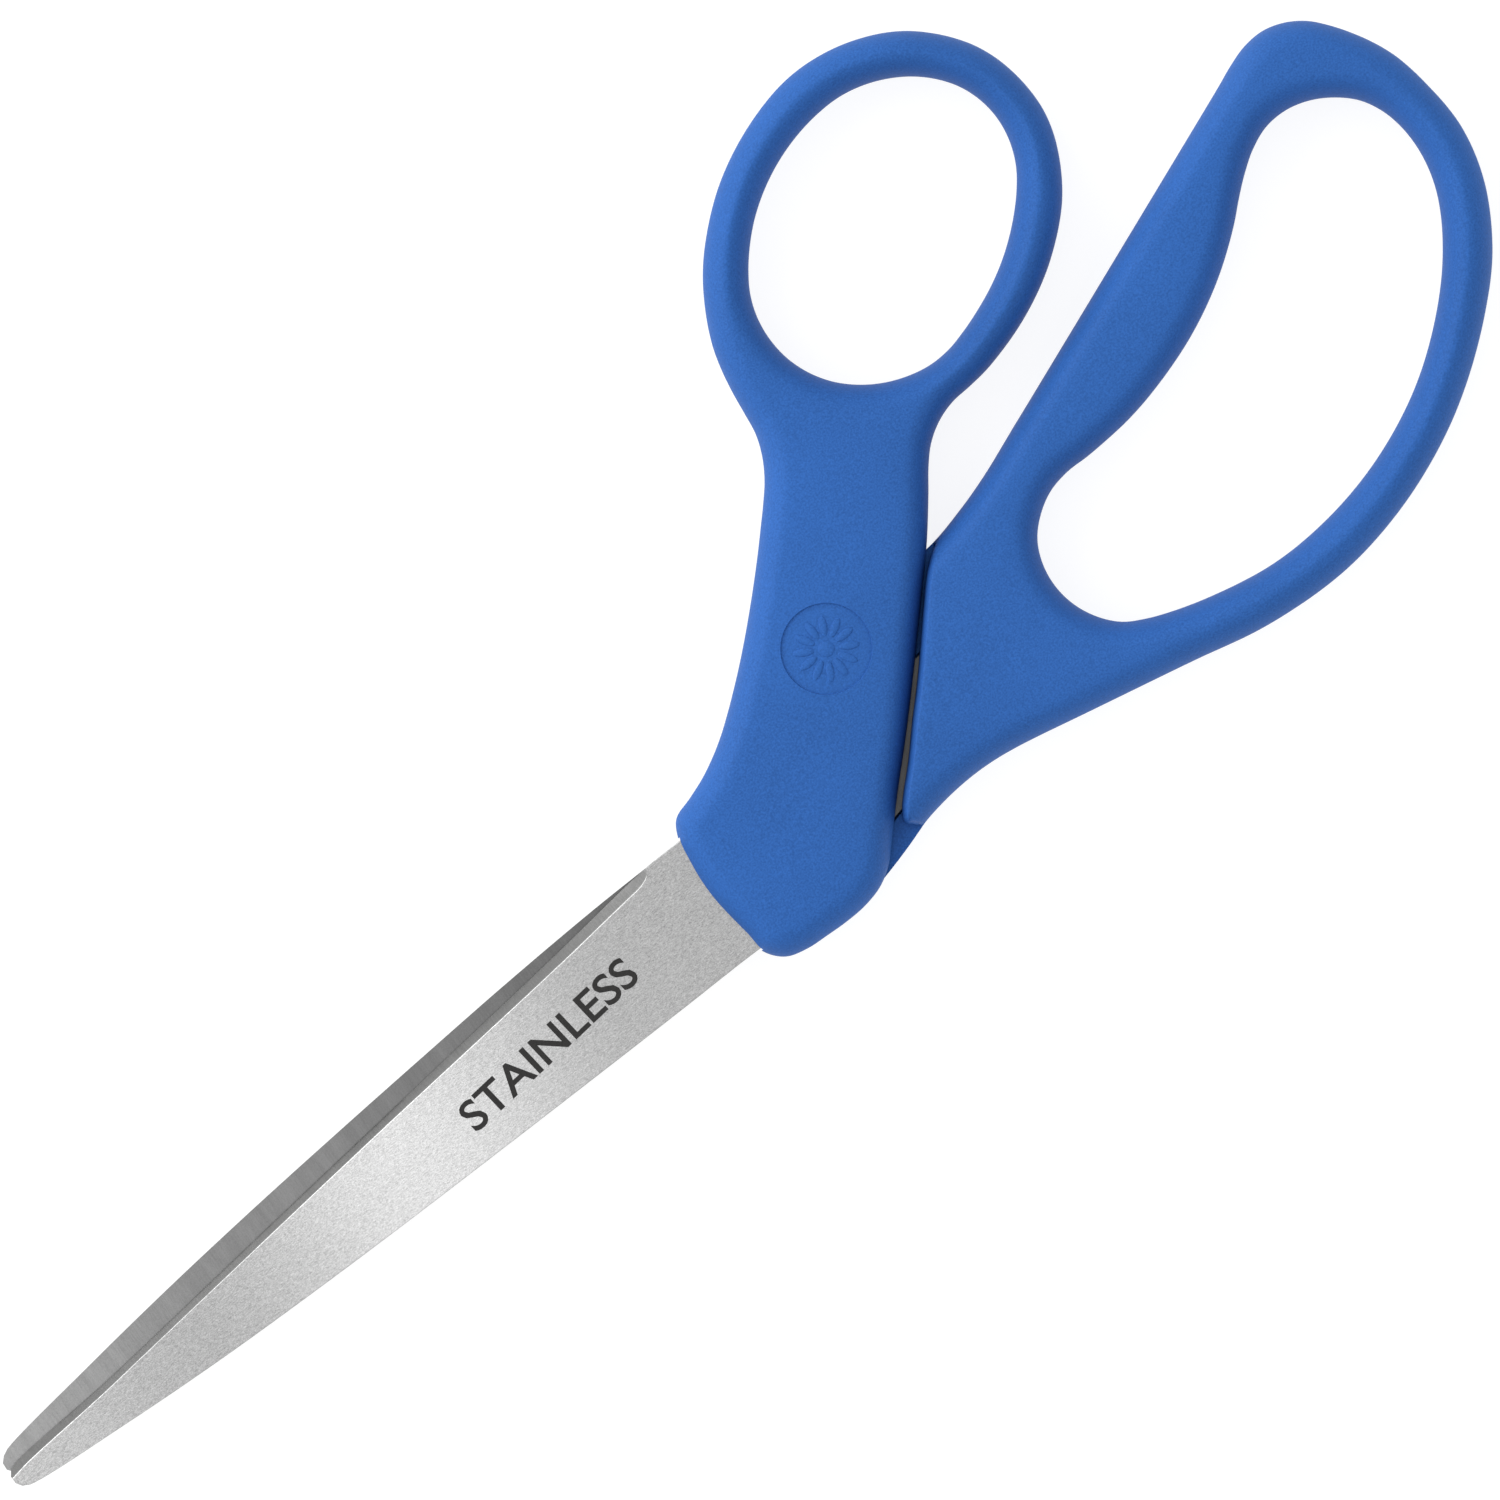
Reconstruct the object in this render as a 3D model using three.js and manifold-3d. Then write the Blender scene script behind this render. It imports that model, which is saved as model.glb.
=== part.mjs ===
// Office scissors with moulded handles: two stamped steel blades on one rivet, each blade's
// tang locked in its own plastic handle.
//
// Millimetres, +Z up. The scissors lie flat and closed. The origin is on the pivot axis, on the
// underside. +X runs along the closed blades to their tips, and +Y to the front blade's spine.

import * as THREE from "three";
import { mergeVertices } from "three/addons/utils/BufferGeometryUtils.js";
import Module from "manifold-3d";

const wasm = await Module();
wasm.setup();

// ---- Driving dimensions -------------------------------------------------------------------

const handleThickness = 10.4;
const bladeThickness = 1.6;
const bladeGap = 0.3; // filled by the bearing washer
const clearance = 0.25; // between a steel part and the plastic around it

const edgeRound = 1.4; // in-plane size of the handles' rounded edges
const edgeRoundHeight = 2.4;
const roundSteps = 2;

const shankRadius = 2.4; // rivet
const shoulderRadius = 3.2;
const rivetHeadRadius = 4.6;
const rivetHeadHeight = 1.0;
const peenedHeadRadius = 3.8;
const peenedHeadHeight = 0.8;
const runningClearance = 0.05;
const bushingWall = 0.7;
const bearingWasherRadius = 6.2;
const springWasherRadius = 4.2;
const springWasherThickness = 0.3;
const springWasherRise = 0.25;
const pivotSegments = 32;

const lockHoleRadius = 1.8;
const lockHoleSegments = 16;

const bevelWidth = 0.9; // ground edge, seen from above
const edgeLand = 0.12; // steel left under the ground edge

const medallionCentre = [-15.4, -12.9];
const medallionRadius = 4.7;
const medallionDepth = 0.3;

// Levels, from the underside up.
const middle = handleThickness / 2;
const backInner = middle - bladeGap / 2;
const backOuter = backInner - bladeThickness;
const frontInner = middle + bladeGap / 2;
const frontOuter = frontInner + bladeThickness;
const springTop = frontOuter + springWasherRise + springWasherThickness;
const rivetTop = springTop + peenedHeadHeight;

// ---- Outlines, seen from above ------------------------------------------------------------

// Where the front cover crosses the blade, from the ricasso side to the spine side.
const coverFrontEdge = [
  [8.6, -7.1],
  [9.4, -3.4],
  [9.6, 0.5],
  [9.3, 3.7],
  [9.0, 7.1],
];

// Round the pivot, up the shank beside the other handle, round the ring and back.
const thumbSweep = [
  [9.0, 7.1],
  [8.4, 8.1],
  [7.5, 9.0],
  [6.0, 9.6],
  [3.5, 9.9],
  [0.7, 10.1],
  [-2.2, 10.0],
  [-4.4, 9.5],
  [-5.8, 8.95],
  [-6.6, 8.2],
  [-8.4, 6.5],
  [-12.2, 2.8],
  [-16.2, -0.9],
  [-20.3, -4.9],
  [-30.2, -14.9],
  [-32.9, -18.0],
  [-36.4, -22.1],
  [-38.6, -23.6],
  [-40.9, -24.4],
  [-45.8, -24.8],
  [-52.5, -26.6],
  [-58.6, -29.8],
  [-63.9, -34.7],
  [-67.2, -41.8],
  [-66.4, -50.2],
  [-61.9, -56.5],
  [-56.2, -59.7],
  [-49.7, -60.8],
  [-43.4, -59.7],
  [-36.8, -56.8],
  [-31.3, -52.5],
  [-28.3, -48.9],
  [-25.6, -43.9],
  [-24.2, -38.5],
  [-23.6, -34.7],
  [-21.9, -31.1],
  [-17.8, -26.6],
  [-11.0, -20.2],
  [-5.3, -15.5],
  [-0.4, -12.1],
  [3.6, -10.2],
  [7.2, -9.1],
  [8.3, -8.3],
  [8.6, -7.1],
];

const thumbHole = [
  [-59.9, -37.2],
  [-62.2, -40.7],
  [-63.0, -45.1],
  [-61.8, -49.5],
  [-58.3, -53.4],
  [-52.9, -55.8],
  [-47.0, -55.8],
  [-40.9, -53.9],
  [-35.6, -50.3],
  [-31.6, -45.0],
  [-30.8, -39.4],
  [-32.6, -34.4],
  [-36.7, -30.6],
  [-42.5, -28.8],
  [-48.9, -30.1],
  [-54.8, -32.9],
];

// From the crotch between the handles round the long loop to the pivot.
const fingerSweep = [
  [-30.5, -14.5],
  [-31.8, -14.8],
  [-34.5, -15.3],
  [-38.8, -16.5],
  [-45.4, -18.9],
  [-53.0, -21.6],
  [-65.3, -26.1],
  [-74.3, -29.4],
  [-83.1, -32.7],
  [-86.8, -34.0],
  [-90.0, -34.1],
  [-93.3, -32.6],
  [-96.0, -29.4],
  [-98.5, -24.3],
  [-99.4, -19.0],
  [-99.4, -13.7],
  [-97.7, -7.9],
  [-94.0, -2.0],
  [-89.9, 2.1],
  [-83.8, 6.7],
  [-77.6, 10.1],
  [-69.9, 12.8],
  [-61.6, 14.1],
  [-52.2, 13.5],
  [-43.6, 11.5],
  [-33.1, 9.1],
  [-22.3, 6.8],
  [-17.3, 6.6],
  [-12.4, 7.2],
  [-9.3, 8.1],
  [-5.8, 8.95],
  [-2.4, 9.6],
  [1.0, 9.5],
  [4.2, 9.0],
  [6.6, 8.0],
  [7.9, 6.2],
];

// The back cover's edge across the blade.
const backCoverFrontEdge = [
  [7.9, 6.2],
  [8.5, 3.1],
  [8.7, -0.2],
  [8.5, -3.4],
  [7.9, -6.2],
];

// The back cover's edge beside the thumb handle, from the blade to the crotch.
const backCoverSide = [
  [7.9, -6.2],
  [6.4, -8.0],
  [3.6, -9.2],
  [0.0, -10.6],
  [-5.0, -12.5],
  [-12.0, -13.8],
  [-22.0, -14.3],
  [-30.5, -14.5],
];

const fingerHole = [
  [-91.2, -24.2],
  [-88.2, -25.9],
  [-84.7, -26.4],
  [-81.3, -25.3],
  [-78.2, -23.2],
  [-74.2, -19.9],
  [-69.3, -16.7],
  [-63.3, -14.0],
  [-55.6, -12.0],
  [-49.8, -11.5],
  [-44.5, -11.4],
  [-41.3, -10.0],
  [-38.9, -7.6],
  [-37.7, -3.9],
  [-38.2, 0.1],
  [-40.5, 3.7],
  [-44.5, 5.9],
  [-50.8, 7.9],
  [-57.2, 9.0],
  [-64.7, 8.7],
  [-71.8, 7.1],
  [-78.8, 4.1],
  [-84.9, -0.1],
  [-89.7, -4.8],
  [-93.1, -9.9],
  [-94.5, -14.5],
  [-94.4, -19.0],
  [-93.1, -22.2],
];

// The step where the finger handle drops to half thickness under the thumb handle.
const fingerStep = [
  [-30.5, -14.5],
  [-28.1, -12.4],
  [-25.1, -9.3],
  [-20.7, -4.65],
  [-17.7, -1.75],
  [-14.8, 1.2],
  [-12.0, 3.8],
  [-10.9, 5.1],
  [-10.5, 6.2],
  [-11.3, 7.1],
];

// The same step on the thumb handle's underside. Its blade-side end is the opening stop.
const thumbStep = [
  [-31.0, -15.7],
  [-28.0, -15.3],
  [-22.0, -15.1],
  [-12.0, -15.2],
  [-4.6, -15.4],
];

// Ground edge, round tip and spine of each blade, from the ricasso to the handle.
const frontBladeEdge = [
  [13.0, -7.05],
  [25.1, -5.95],
  [58.0, -3.3],
  [91.6, -0.55],
  [101.2, -0.1],
];
const frontBladeTip = [
  [101.2, -0.1],
  [102.2, 0.3],
  [102.5, 1.1],
  [102.3, 2.0],
  [101.4, 2.6],
];
const frontBladeSpine = [
  [101.4, 2.6],
  [93.1, 3.6],
  [78.3, 4.85],
  [60.0, 5.7],
  [35.0, 6.3],
  [8.4, 6.73],
];

const backBladeEdge = [
  [13.0, 6.5],
  [25.1, 5.5],
  [58.0, 3.4],
  [91.6, 1.3],
  [101.2, 0.9],
];
const backBladeTip = [
  [101.2, 0.9],
  [102.1, 0.4],
  [102.4, -0.3],
  [102.1, -1.1],
  [101.0, -1.7],
];
const backBladeSpine = [
  [101.0, -1.7],
  [94.1, -2.56],
  [80.5, -3.95],
  [67.7, -4.95],
  [45.9, -6.15],
  [24.2, -7.0],
  [8.1, -7.05],
];

// Tangs, from the spine round the hidden end to the ricasso.
const frontTang = [
  [8.4, 6.73],
  [2.0, 7.2],
  [-3.0, 6.2],
  [-7.0, 2.2],
  [-12.3, -4.3],
  [-27.0, -19.6],
  [-28.4, -23.2],
  [-26.4, -26.6],
  [-22.4, -26.2],
  [-8.5, -14.2],
  [-2.0, -9.4],
  [4.0, -7.4],
  [9.0, -7.05],
];
const backTang = [
  [8.1, -7.05],
  [1.0, -7.4],
  [-4.0, -6.6],
  [-10.0, -5.7],
  [-30.0, -6.4],
  [-33.2, -4.6],
  [-33.4, -0.9],
  [-30.6, 1.6],
  [-20.0, 3.4],
  [-11.4, 4.6],
  [-5.0, 6.0],
  [0.0, 6.7],
  [9.0, 6.5],
];
const frontLockHoles = [
  [-15.6, -11.6],
  [-23.2, -20.6],
];
const backLockHoles = [
  [-22.0, -1.4],
  [-29.0, -2.4],
];

// How far the blade pockets run out past the covers' front edges.
const pocketMouth = 16;

// ---- Helpers ------------------------------------------------------------------------------

/** Evenly spaced points on a smooth curve through the given points. */
function smooth(points, spacing, closed = false) {
  const through = points.map(([x, y]) => new THREE.Vector3(x, y, 0));
  const curve = new THREE.CatmullRomCurve3(through, closed, "centripetal");
  const steps = Math.max(2, Math.round(curve.getLength() / spacing));
  const spaced = curve.getSpacedPoints(steps).map((p) => new THREE.Vector2(p.x, p.y));
  return closed ? spaced.slice(0, -1) : spaced;
}

/** Joins open runs that share their end points into one closed outline. */
function joinRuns(...runs) {
  return runs.flatMap((run) => run.slice(0, -1));
}

/** Moves each point of a closed outline outwards by a distance. */
function grow(outline, distance) {
  const turn = THREE.ShapeUtils.area(outline) > 0 ? 1 : -1;
  return outline.map((point, i) => {
    const before = outline.at(i - 1);
    const after = outline[(i + 1) % outline.length];
    const along = after.clone().sub(before).normalize();
    return new THREE.Vector2(along.y, -along.x).multiplyScalar(distance * turn).add(point);
  });
}

function circle([x, y], radius, segments) {
  const points = [];
  for (let i = 0; i < segments; i++) {
    const angle = (i / segments) * 2 * Math.PI;
    points.push(new THREE.Vector2(x + radius * Math.cos(angle), y + radius * Math.sin(angle)));
  }
  return points;
}

/** A straight-sided plate between two levels, with holes. */
function plate(outline, bottom, top, holes = []) {
  const shape = new THREE.Shape(outline);
  shape.holes = holes.map((hole) => new THREE.Path(hole));
  const geometry = new THREE.ExtrudeGeometry(shape, { depth: top - bottom, bevelEnabled: false });
  return geometry.translate(0, 0, bottom);
}

/** A plate of the handles' thickness with rounded edges, inside and out. */
function roundedPlate(outline, holes) {
  const shape = new THREE.Shape(outline);
  shape.holes = holes.map((hole) => new THREE.Path(hole));
  const geometry = new THREE.ExtrudeGeometry(shape, {
    depth: handleThickness - 2 * edgeRoundHeight,
    bevelSize: edgeRound,
    bevelOffset: -edgeRound,
    bevelThickness: edgeRoundHeight,
    bevelSegments: roundSteps,
  });
  return geometry.translate(0, 0, edgeRoundHeight);
}

/** A solid turned about the pivot axis from [radius, height] points. */
function turned(profile) {
  const points = profile.map(([r, z]) => new THREE.Vector2(r, z));
  return new THREE.LatheGeometry(points, pivotSegments).rotateX(Math.PI / 2);
}

function toSolid(geometry) {
  const bare = geometry.clone();
  bare.deleteAttribute("normal");
  bare.deleteAttribute("uv");
  const merged = mergeVertices(bare, 1e-4);
  const solid = new wasm.Manifold(
    new wasm.Mesh({
      numProp: 3,
      vertProperties: merged.attributes.position.array,
      triVerts: new Uint32Array(merged.index.array),
    }),
  );
  if (solid.volume() > 0) return solid;
  throw new Error("a solid is inside out");
}

function toMesh(name, solid, material) {
  const made = solid.getMesh();
  const geometry = new THREE.BufferGeometry();
  geometry.setAttribute("position", new THREE.BufferAttribute(made.vertProperties, 3));
  geometry.setIndex(new THREE.BufferAttribute(made.triVerts, 1));
  geometry.computeVertexNormals();
  const mesh = new THREE.Mesh(geometry, material);
  mesh.name = name;
  return mesh;
}

// ---- Materials ----------------------------------------------------------------------------

const bluePlastic = new THREE.MeshStandardMaterial({ color: 0x3569b5, roughness: 0.55 });
const bladeSteel = new THREE.MeshStandardMaterial({
  color: 0xc4c5c6,
  roughness: 0.35,
  metalness: 1,
});
const rivetSteel = new THREE.MeshStandardMaterial({
  color: 0xb4b6b8,
  roughness: 0.3,
  metalness: 1,
});
const nylon = new THREE.MeshStandardMaterial({ color: 0xe6e4dc, roughness: 0.5 });

// ---- Blades -------------------------------------------------------------------------------

/** The long wedge that grinds one blade's cutting edge, on its outer face. */
function edgeGrind(edge, inwards, outerLevel, innerLevel) {
  const [startX, startY] = edge[0];
  const [endX, endY] = edge.at(-1);
  const run = Math.hypot(endX - startX, endY - startY);
  const upwards = Math.sign(outerLevel - innerLevel);
  const landLevel = innerLevel + upwards * edgeLand;
  const slope = (outerLevel - landLevel) / bevelWidth;
  const reach = 2; // how far the wedge overshoots the steel
  const section = new THREE.Shape([
    new THREE.Vector2(inwards * (bevelWidth + reach), outerLevel + slope * reach),
    new THREE.Vector2(-inwards * reach, landLevel - slope * reach),
    new THREE.Vector2(-inwards * reach, outerLevel + slope * reach),
  ]);
  const wedge = new THREE.ExtrudeGeometry(section, { depth: run + reach, bevelEnabled: false });
  wedge.rotateX(Math.PI / 2).rotateZ(Math.PI / 2);
  wedge.rotateZ(Math.atan2(endY - startY, endX - startX));
  return wedge.translate(startX, startY, 0);
}

function blade(edge, tip, spine, tang, pivotHole, lockHoles, inner, outer, inwards) {
  const outline = joinRuns(smooth(edge, 12), smooth(tip, 0.8), smooth(spine, 12), smooth(tang, 3));
  outline.push(new THREE.Vector2(...tang.at(-1)));
  const holes = lockHoles.map((centre) => circle(centre, lockHoleRadius, lockHoleSegments));
  holes.push(circle([0, 0], pivotHole, pivotSegments));
  const blank = plate(outline, Math.min(inner, outer), Math.max(inner, outer), holes);
  return toSolid(blank).subtract(toSolid(edgeGrind(edge, inwards, outer, inner)));
}

const bushingRadius = shankRadius + runningClearance + bushingWall;

function frontBlade() {
  return blade(
    frontBladeEdge,
    frontBladeTip,
    frontBladeSpine,
    frontTang,
    bushingRadius + runningClearance,
    frontLockHoles,
    frontInner,
    frontOuter,
    1,
  );
}

function backBlade() {
  return blade(
    backBladeEdge,
    backBladeTip,
    backBladeSpine,
    backTang,
    shankRadius + runningClearance,
    backLockHoles,
    backInner,
    backOuter,
    -1,
  );
}

// ---- Handles ------------------------------------------------------------------------------

/** The room a tang takes in its handle. Plastic keys are left through its lock holes. */
function tangPocket(tang, lockHoles, bottom, top) {
  const [spineX, spineY] = tang[0];
  const [ricassoX, ricassoY] = tang.at(-1);
  const outline = grow(smooth(tang, 3), clearance);
  outline[0].set(spineX, spineY + Math.sign(spineY) * clearance);
  outline[outline.length - 1].set(ricassoX, ricassoY + Math.sign(ricassoY) * clearance);
  outline.push(new THREE.Vector2(pocketMouth, ricassoY + Math.sign(ricassoY) * clearance));
  outline.push(new THREE.Vector2(pocketMouth, spineY + Math.sign(spineY) * clearance));
  const keyRadius = lockHoleRadius - clearance;
  const keys = lockHoles.map((centre) => circle(centre, keyRadius, lockHoleSegments));
  return toSolid(plate(outline, bottom, top, keys));
}

/** Everything on one side of a step, between two levels, far past the handle. */
function stepCutter(step, farCorners, bottom, top) {
  const corners = farCorners.map(([x, y]) => new THREE.Vector2(x, y));
  return toSolid(plate([...smooth(step, 1.5), ...corners], bottom, top));
}

function thumbHandle() {
  const outline = joinRuns(smooth(coverFrontEdge, 2.5), smooth(thumbSweep, 2.4));
  const body = toSolid(roundedPlate(outline, [smooth(thumbHole, 2.6, true)]));
  const farCorners = [
    [-4.6, -22],
    [30, -22],
    [30, 30],
    [-31, 30],
  ];
  const rivetRoom = circle([0, 0], springWasherRadius + 2 * clearance, pivotSegments);
  const medallion = circle(medallionCentre, medallionRadius, 2 * pivotSegments);
  const recessBottom = handleThickness - medallionDepth;
  return body
    .subtract(stepCutter(thumbStep, farCorners, -1, frontInner))
    .subtract(tangPocket(frontTang, frontLockHoles, frontInner, frontOuter))
    .subtract(toSolid(plate(rivetRoom, frontInner, rivetTop + clearance)))
    .subtract(toSolid(plate(medallion, recessBottom, handleThickness + 1)));
}

function fingerHandle() {
  const outline = joinRuns(
    smooth(fingerSweep, 2.4),
    smooth(backCoverFrontEdge, 2.5),
    smooth(backCoverSide, 2.5),
  );
  const body = toSolid(roundedPlate(outline, [smooth(fingerHole, 2.6, true)]));
  const farCorners = [
    [-11.4, 20],
    [30, 20],
    [30, -30],
    [-30.5, -30],
  ];
  const headRoom = circle([0, 0], rivetHeadRadius + clearance, pivotSegments);
  const shoulderRoom = circle([0, 0], shoulderRadius + clearance, pivotSegments);
  return body
    .subtract(stepCutter(fingerStep, farCorners, backInner, handleThickness + 1))
    .subtract(tangPocket(backTang, backLockHoles, backOuter, backInner))
    .subtract(toSolid(plate(headRoom, -1, rivetHeadHeight)))
    .subtract(toSolid(plate(shoulderRoom, 0, backInner)));
}

// ---- Pivot --------------------------------------------------------------------------------

function pivotRivet() {
  return turned([
    [0, 0],
    [rivetHeadRadius, 0],
    [rivetHeadRadius, rivetHeadHeight],
    [shoulderRadius, rivetHeadHeight],
    [shoulderRadius, backOuter],
    [shankRadius, backOuter],
    [shankRadius, springTop],
    [peenedHeadRadius, springTop],
    [peenedHeadRadius - 0.6, rivetTop],
    [0, rivetTop],
  ]);
}

function ring(inner, outer, bottom, top) {
  return turned([
    [inner, bottom],
    [outer, bottom],
    [outer, top],
    [inner, top],
    [inner, bottom],
  ]);
}

function springWasher() {
  const inner = shankRadius + 0.2;
  return turned([
    [inner, frontOuter + springWasherRise],
    [springWasherRadius, frontOuter],
    [springWasherRadius, frontOuter + springWasherThickness],
    [inner, springTop],
    [inner, frontOuter + springWasherRise],
  ]);
}

// ---- Assembly -----------------------------------------------------------------------------

const boreRadius = shankRadius + runningClearance;

const fingerHalf = new THREE.Group();
fingerHalf.add(
  toMesh("finger_handle", fingerHandle(), bluePlastic),
  toMesh("back_blade", backBlade(), bladeSteel),
  toMesh("pivot_rivet", toSolid(pivotRivet()), rivetSteel),
  toMesh(
    "bearing_washer",
    toSolid(ring(boreRadius + 0.15, bearingWasherRadius, backInner, frontInner)),
    nylon,
  ),
  toMesh("spring_washer", toSolid(springWasher()), rivetSteel),
);

const thumbHalf = new THREE.Group();
thumbHalf.add(
  toMesh("thumb_handle", thumbHandle(), bluePlastic),
  toMesh("front_blade", frontBlade(), bladeSteel),
  toMesh("pivot_bushing", toSolid(ring(boreRadius, bushingRadius, frontInner, frontOuter)), nylon),
);

const group = new THREE.Group();
group.add(fingerHalf, thumbHalf);

export default group;
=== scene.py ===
"""Office scissors: two satin steel blades on a rivet, in moulded plastic handles.

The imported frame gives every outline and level. This script redraws those outlines as smooth
curves and builds the finished pieces inside them: crowned handles, ground blades, turned pivot
parts and the marks. Sizes are millimetres until a mesh is written, in the frame's own axes: +X
along the closed blades, +Y to the front blade's spine, +Z up.
"""

import logging
import math
from collections.abc import Callable
from dataclasses import dataclass, field
from enum import Enum

import bmesh
import bpy
import numpy as np
from mathutils import Matrix, Vector
from mathutils.geometry import delaunay_2d_cdt


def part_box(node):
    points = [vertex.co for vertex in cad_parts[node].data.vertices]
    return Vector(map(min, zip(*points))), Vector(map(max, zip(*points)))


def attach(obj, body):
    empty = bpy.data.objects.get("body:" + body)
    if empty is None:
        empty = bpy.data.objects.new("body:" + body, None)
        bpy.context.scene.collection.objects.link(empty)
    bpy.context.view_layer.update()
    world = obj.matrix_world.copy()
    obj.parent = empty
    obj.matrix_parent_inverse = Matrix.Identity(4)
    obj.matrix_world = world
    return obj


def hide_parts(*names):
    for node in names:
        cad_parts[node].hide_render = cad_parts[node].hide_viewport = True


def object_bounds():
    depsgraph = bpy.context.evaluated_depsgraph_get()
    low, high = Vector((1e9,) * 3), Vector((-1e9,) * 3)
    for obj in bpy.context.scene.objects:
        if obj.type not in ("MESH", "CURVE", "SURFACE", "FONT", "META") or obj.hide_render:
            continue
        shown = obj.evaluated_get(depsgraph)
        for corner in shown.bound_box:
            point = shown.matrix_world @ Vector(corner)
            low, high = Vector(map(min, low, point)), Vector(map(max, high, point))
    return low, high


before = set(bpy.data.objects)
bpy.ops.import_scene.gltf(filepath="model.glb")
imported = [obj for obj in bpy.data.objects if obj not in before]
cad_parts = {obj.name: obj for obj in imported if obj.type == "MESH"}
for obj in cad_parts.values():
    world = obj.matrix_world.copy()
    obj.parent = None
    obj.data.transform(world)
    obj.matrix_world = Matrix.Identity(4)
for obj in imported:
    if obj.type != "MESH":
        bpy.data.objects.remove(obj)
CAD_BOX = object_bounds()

MM = 0.001
BATCH = 1500  # points that are compared with every segment at once
OverPoints = Callable[[np.ndarray], np.ndarray]  # gives one value for each of some points
log = logging.getLogger("scissors")


class Body(Enum):
    """The two halves that turn on each other."""

    FINGER = "finger_half"
    THUMB = "thumb_half"


class Facing(Enum):
    """Which way a face looks along Z."""

    UP = 1
    DOWN = -1


# ---- Outlines -----------------------------------------------------------------------------


def vertex_points(mesh: bpy.types.Mesh) -> np.ndarray:
    """A mesh's vertices, in metres.

    Args:
        mesh: the mesh.

    Returns:
        An array of shape (vertices, 3), in single precision.
    """
    points = np.empty(len(mesh.vertices) * 3, np.float32)
    mesh.vertices.foreach_get("co", points)
    return points.reshape(-1, 3)


def triangle_corners(mesh: bpy.types.Mesh) -> np.ndarray:
    """The vertex numbers of a mesh's triangles.

    Args:
        mesh: the mesh.

    Returns:
        An array of shape (triangles, 3).
    """
    mesh.calc_loop_triangles()
    corners = np.empty(len(mesh.loop_triangles) * 3, np.int32)
    mesh.loop_triangles.foreach_get("vertices", corners)
    return corners.reshape(-1, 3)


def node_triangles(node: str) -> np.ndarray:
    """The corner points of a CAD node's triangles.

    Args:
        node: the node's name.

    Returns:
        An array of shape (triangles, 3, 3), in millimetres.
    """
    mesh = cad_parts[node].data
    return vertex_points(mesh)[triangle_corners(mesh)].astype(float) / MM


def area(loop: np.ndarray) -> float:
    """The area inside a closed outline, positive when it runs counter-clockwise."""
    after = np.roll(loop, -1, axis=0)
    return float(np.sum(loop[:, 0] * after[:, 1] - after[:, 0] * loop[:, 1]) / 2)


def corners_only(loop: np.ndarray, tolerance: float = 0.0004) -> np.ndarray:
    """A closed outline without the points that lie on a line between their neighbours.

    Args:
        loop: the outline's points.
        tolerance: how far off the line a point has to be to stay.

    Returns:
        The points that stay.
    """
    loop = loop[np.linalg.norm(loop - np.roll(loop, 1, axis=0), axis=1) > tolerance]
    before = np.roll(loop, 1, axis=0)
    chord = np.roll(loop, -1, axis=0) - before
    step = loop - before
    off = chord[:, 0] * step[:, 1] - chord[:, 1] * step[:, 0]
    return loop[np.abs(off) > tolerance * np.linalg.norm(chord, axis=1)]


def section(node: str, level: float) -> list[np.ndarray]:
    """The closed outlines where a horizontal plane cuts a CAD node.

    Args:
        node: the node's name.
        level: the plane's height.

    Returns:
        The outlines, largest first, each with the solid on its left.
    """
    onward: dict[tuple[float, float], np.ndarray] = {}
    for triangle in node_triangles(node):
        above = triangle[:, 2] > level
        if above.all() or not above.any():
            continue
        ends: dict[bool, np.ndarray] = {}
        for a, b in zip(triangle, np.roll(triangle, -1, axis=0)):
            if (a[2] > level) != (b[2] > level):
                share = (level - a[2]) / (b[2] - a[2])
                ends[bool(a[2] > level)] = (a + share * (b - a))[:2]
        onward[tuple(np.round(ends[True], 3))] = ends[False]
    loops = []
    while onward:
        _, point = onward.popitem()
        loop = [point]
        while tuple(np.round(point, 3)) in onward:
            point = onward.pop(tuple(np.round(point, 3)))
            loop.append(point)
        loops.append(corners_only(np.array(loop)))
    return sorted(loops, key=lambda found: -abs(area(found)))


def smooth_run(points: np.ndarray, spacing: float) -> np.ndarray:
    """A smooth curve through an open run of points, as centripetal Catmull-Rom.

    Args:
        points: the points that the curve passes through.
        spacing: the longest step between the new points.

    Returns:
        The curve's points, with both ends.
    """
    chords = np.diff(points, axis=0)
    knots = np.sqrt(np.linalg.norm(chords, axis=1))
    slopes = chords / knots[:, None]
    tangents = np.vstack([slopes[:1], slopes[-1:]])
    if len(points) > 2:
        before, after = knots[:-1, None], knots[1:, None]
        inner = (slopes[:-1] * after + slopes[1:] * before) / (before + after)
        tangents = np.vstack([slopes[:1], inner, slopes[-1:]])
    curve = []
    for i, chord in enumerate(chords):
        steps = max(1, math.ceil(np.linalg.norm(chord) / spacing))
        t = np.linspace(0, 1, steps, endpoint=False)[:, None]
        curve.append(
            (2 * t**3 - 3 * t**2 + 1) * points[i]
            + (t**3 - 2 * t**2 + t) * knots[i] * tangents[i]
            + (3 * t**2 - 2 * t**3) * points[i + 1]
            + (t**3 - t**2) * knots[i] * tangents[i + 1]
        )
    return np.vstack([*curve, points[-1:]])


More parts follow.
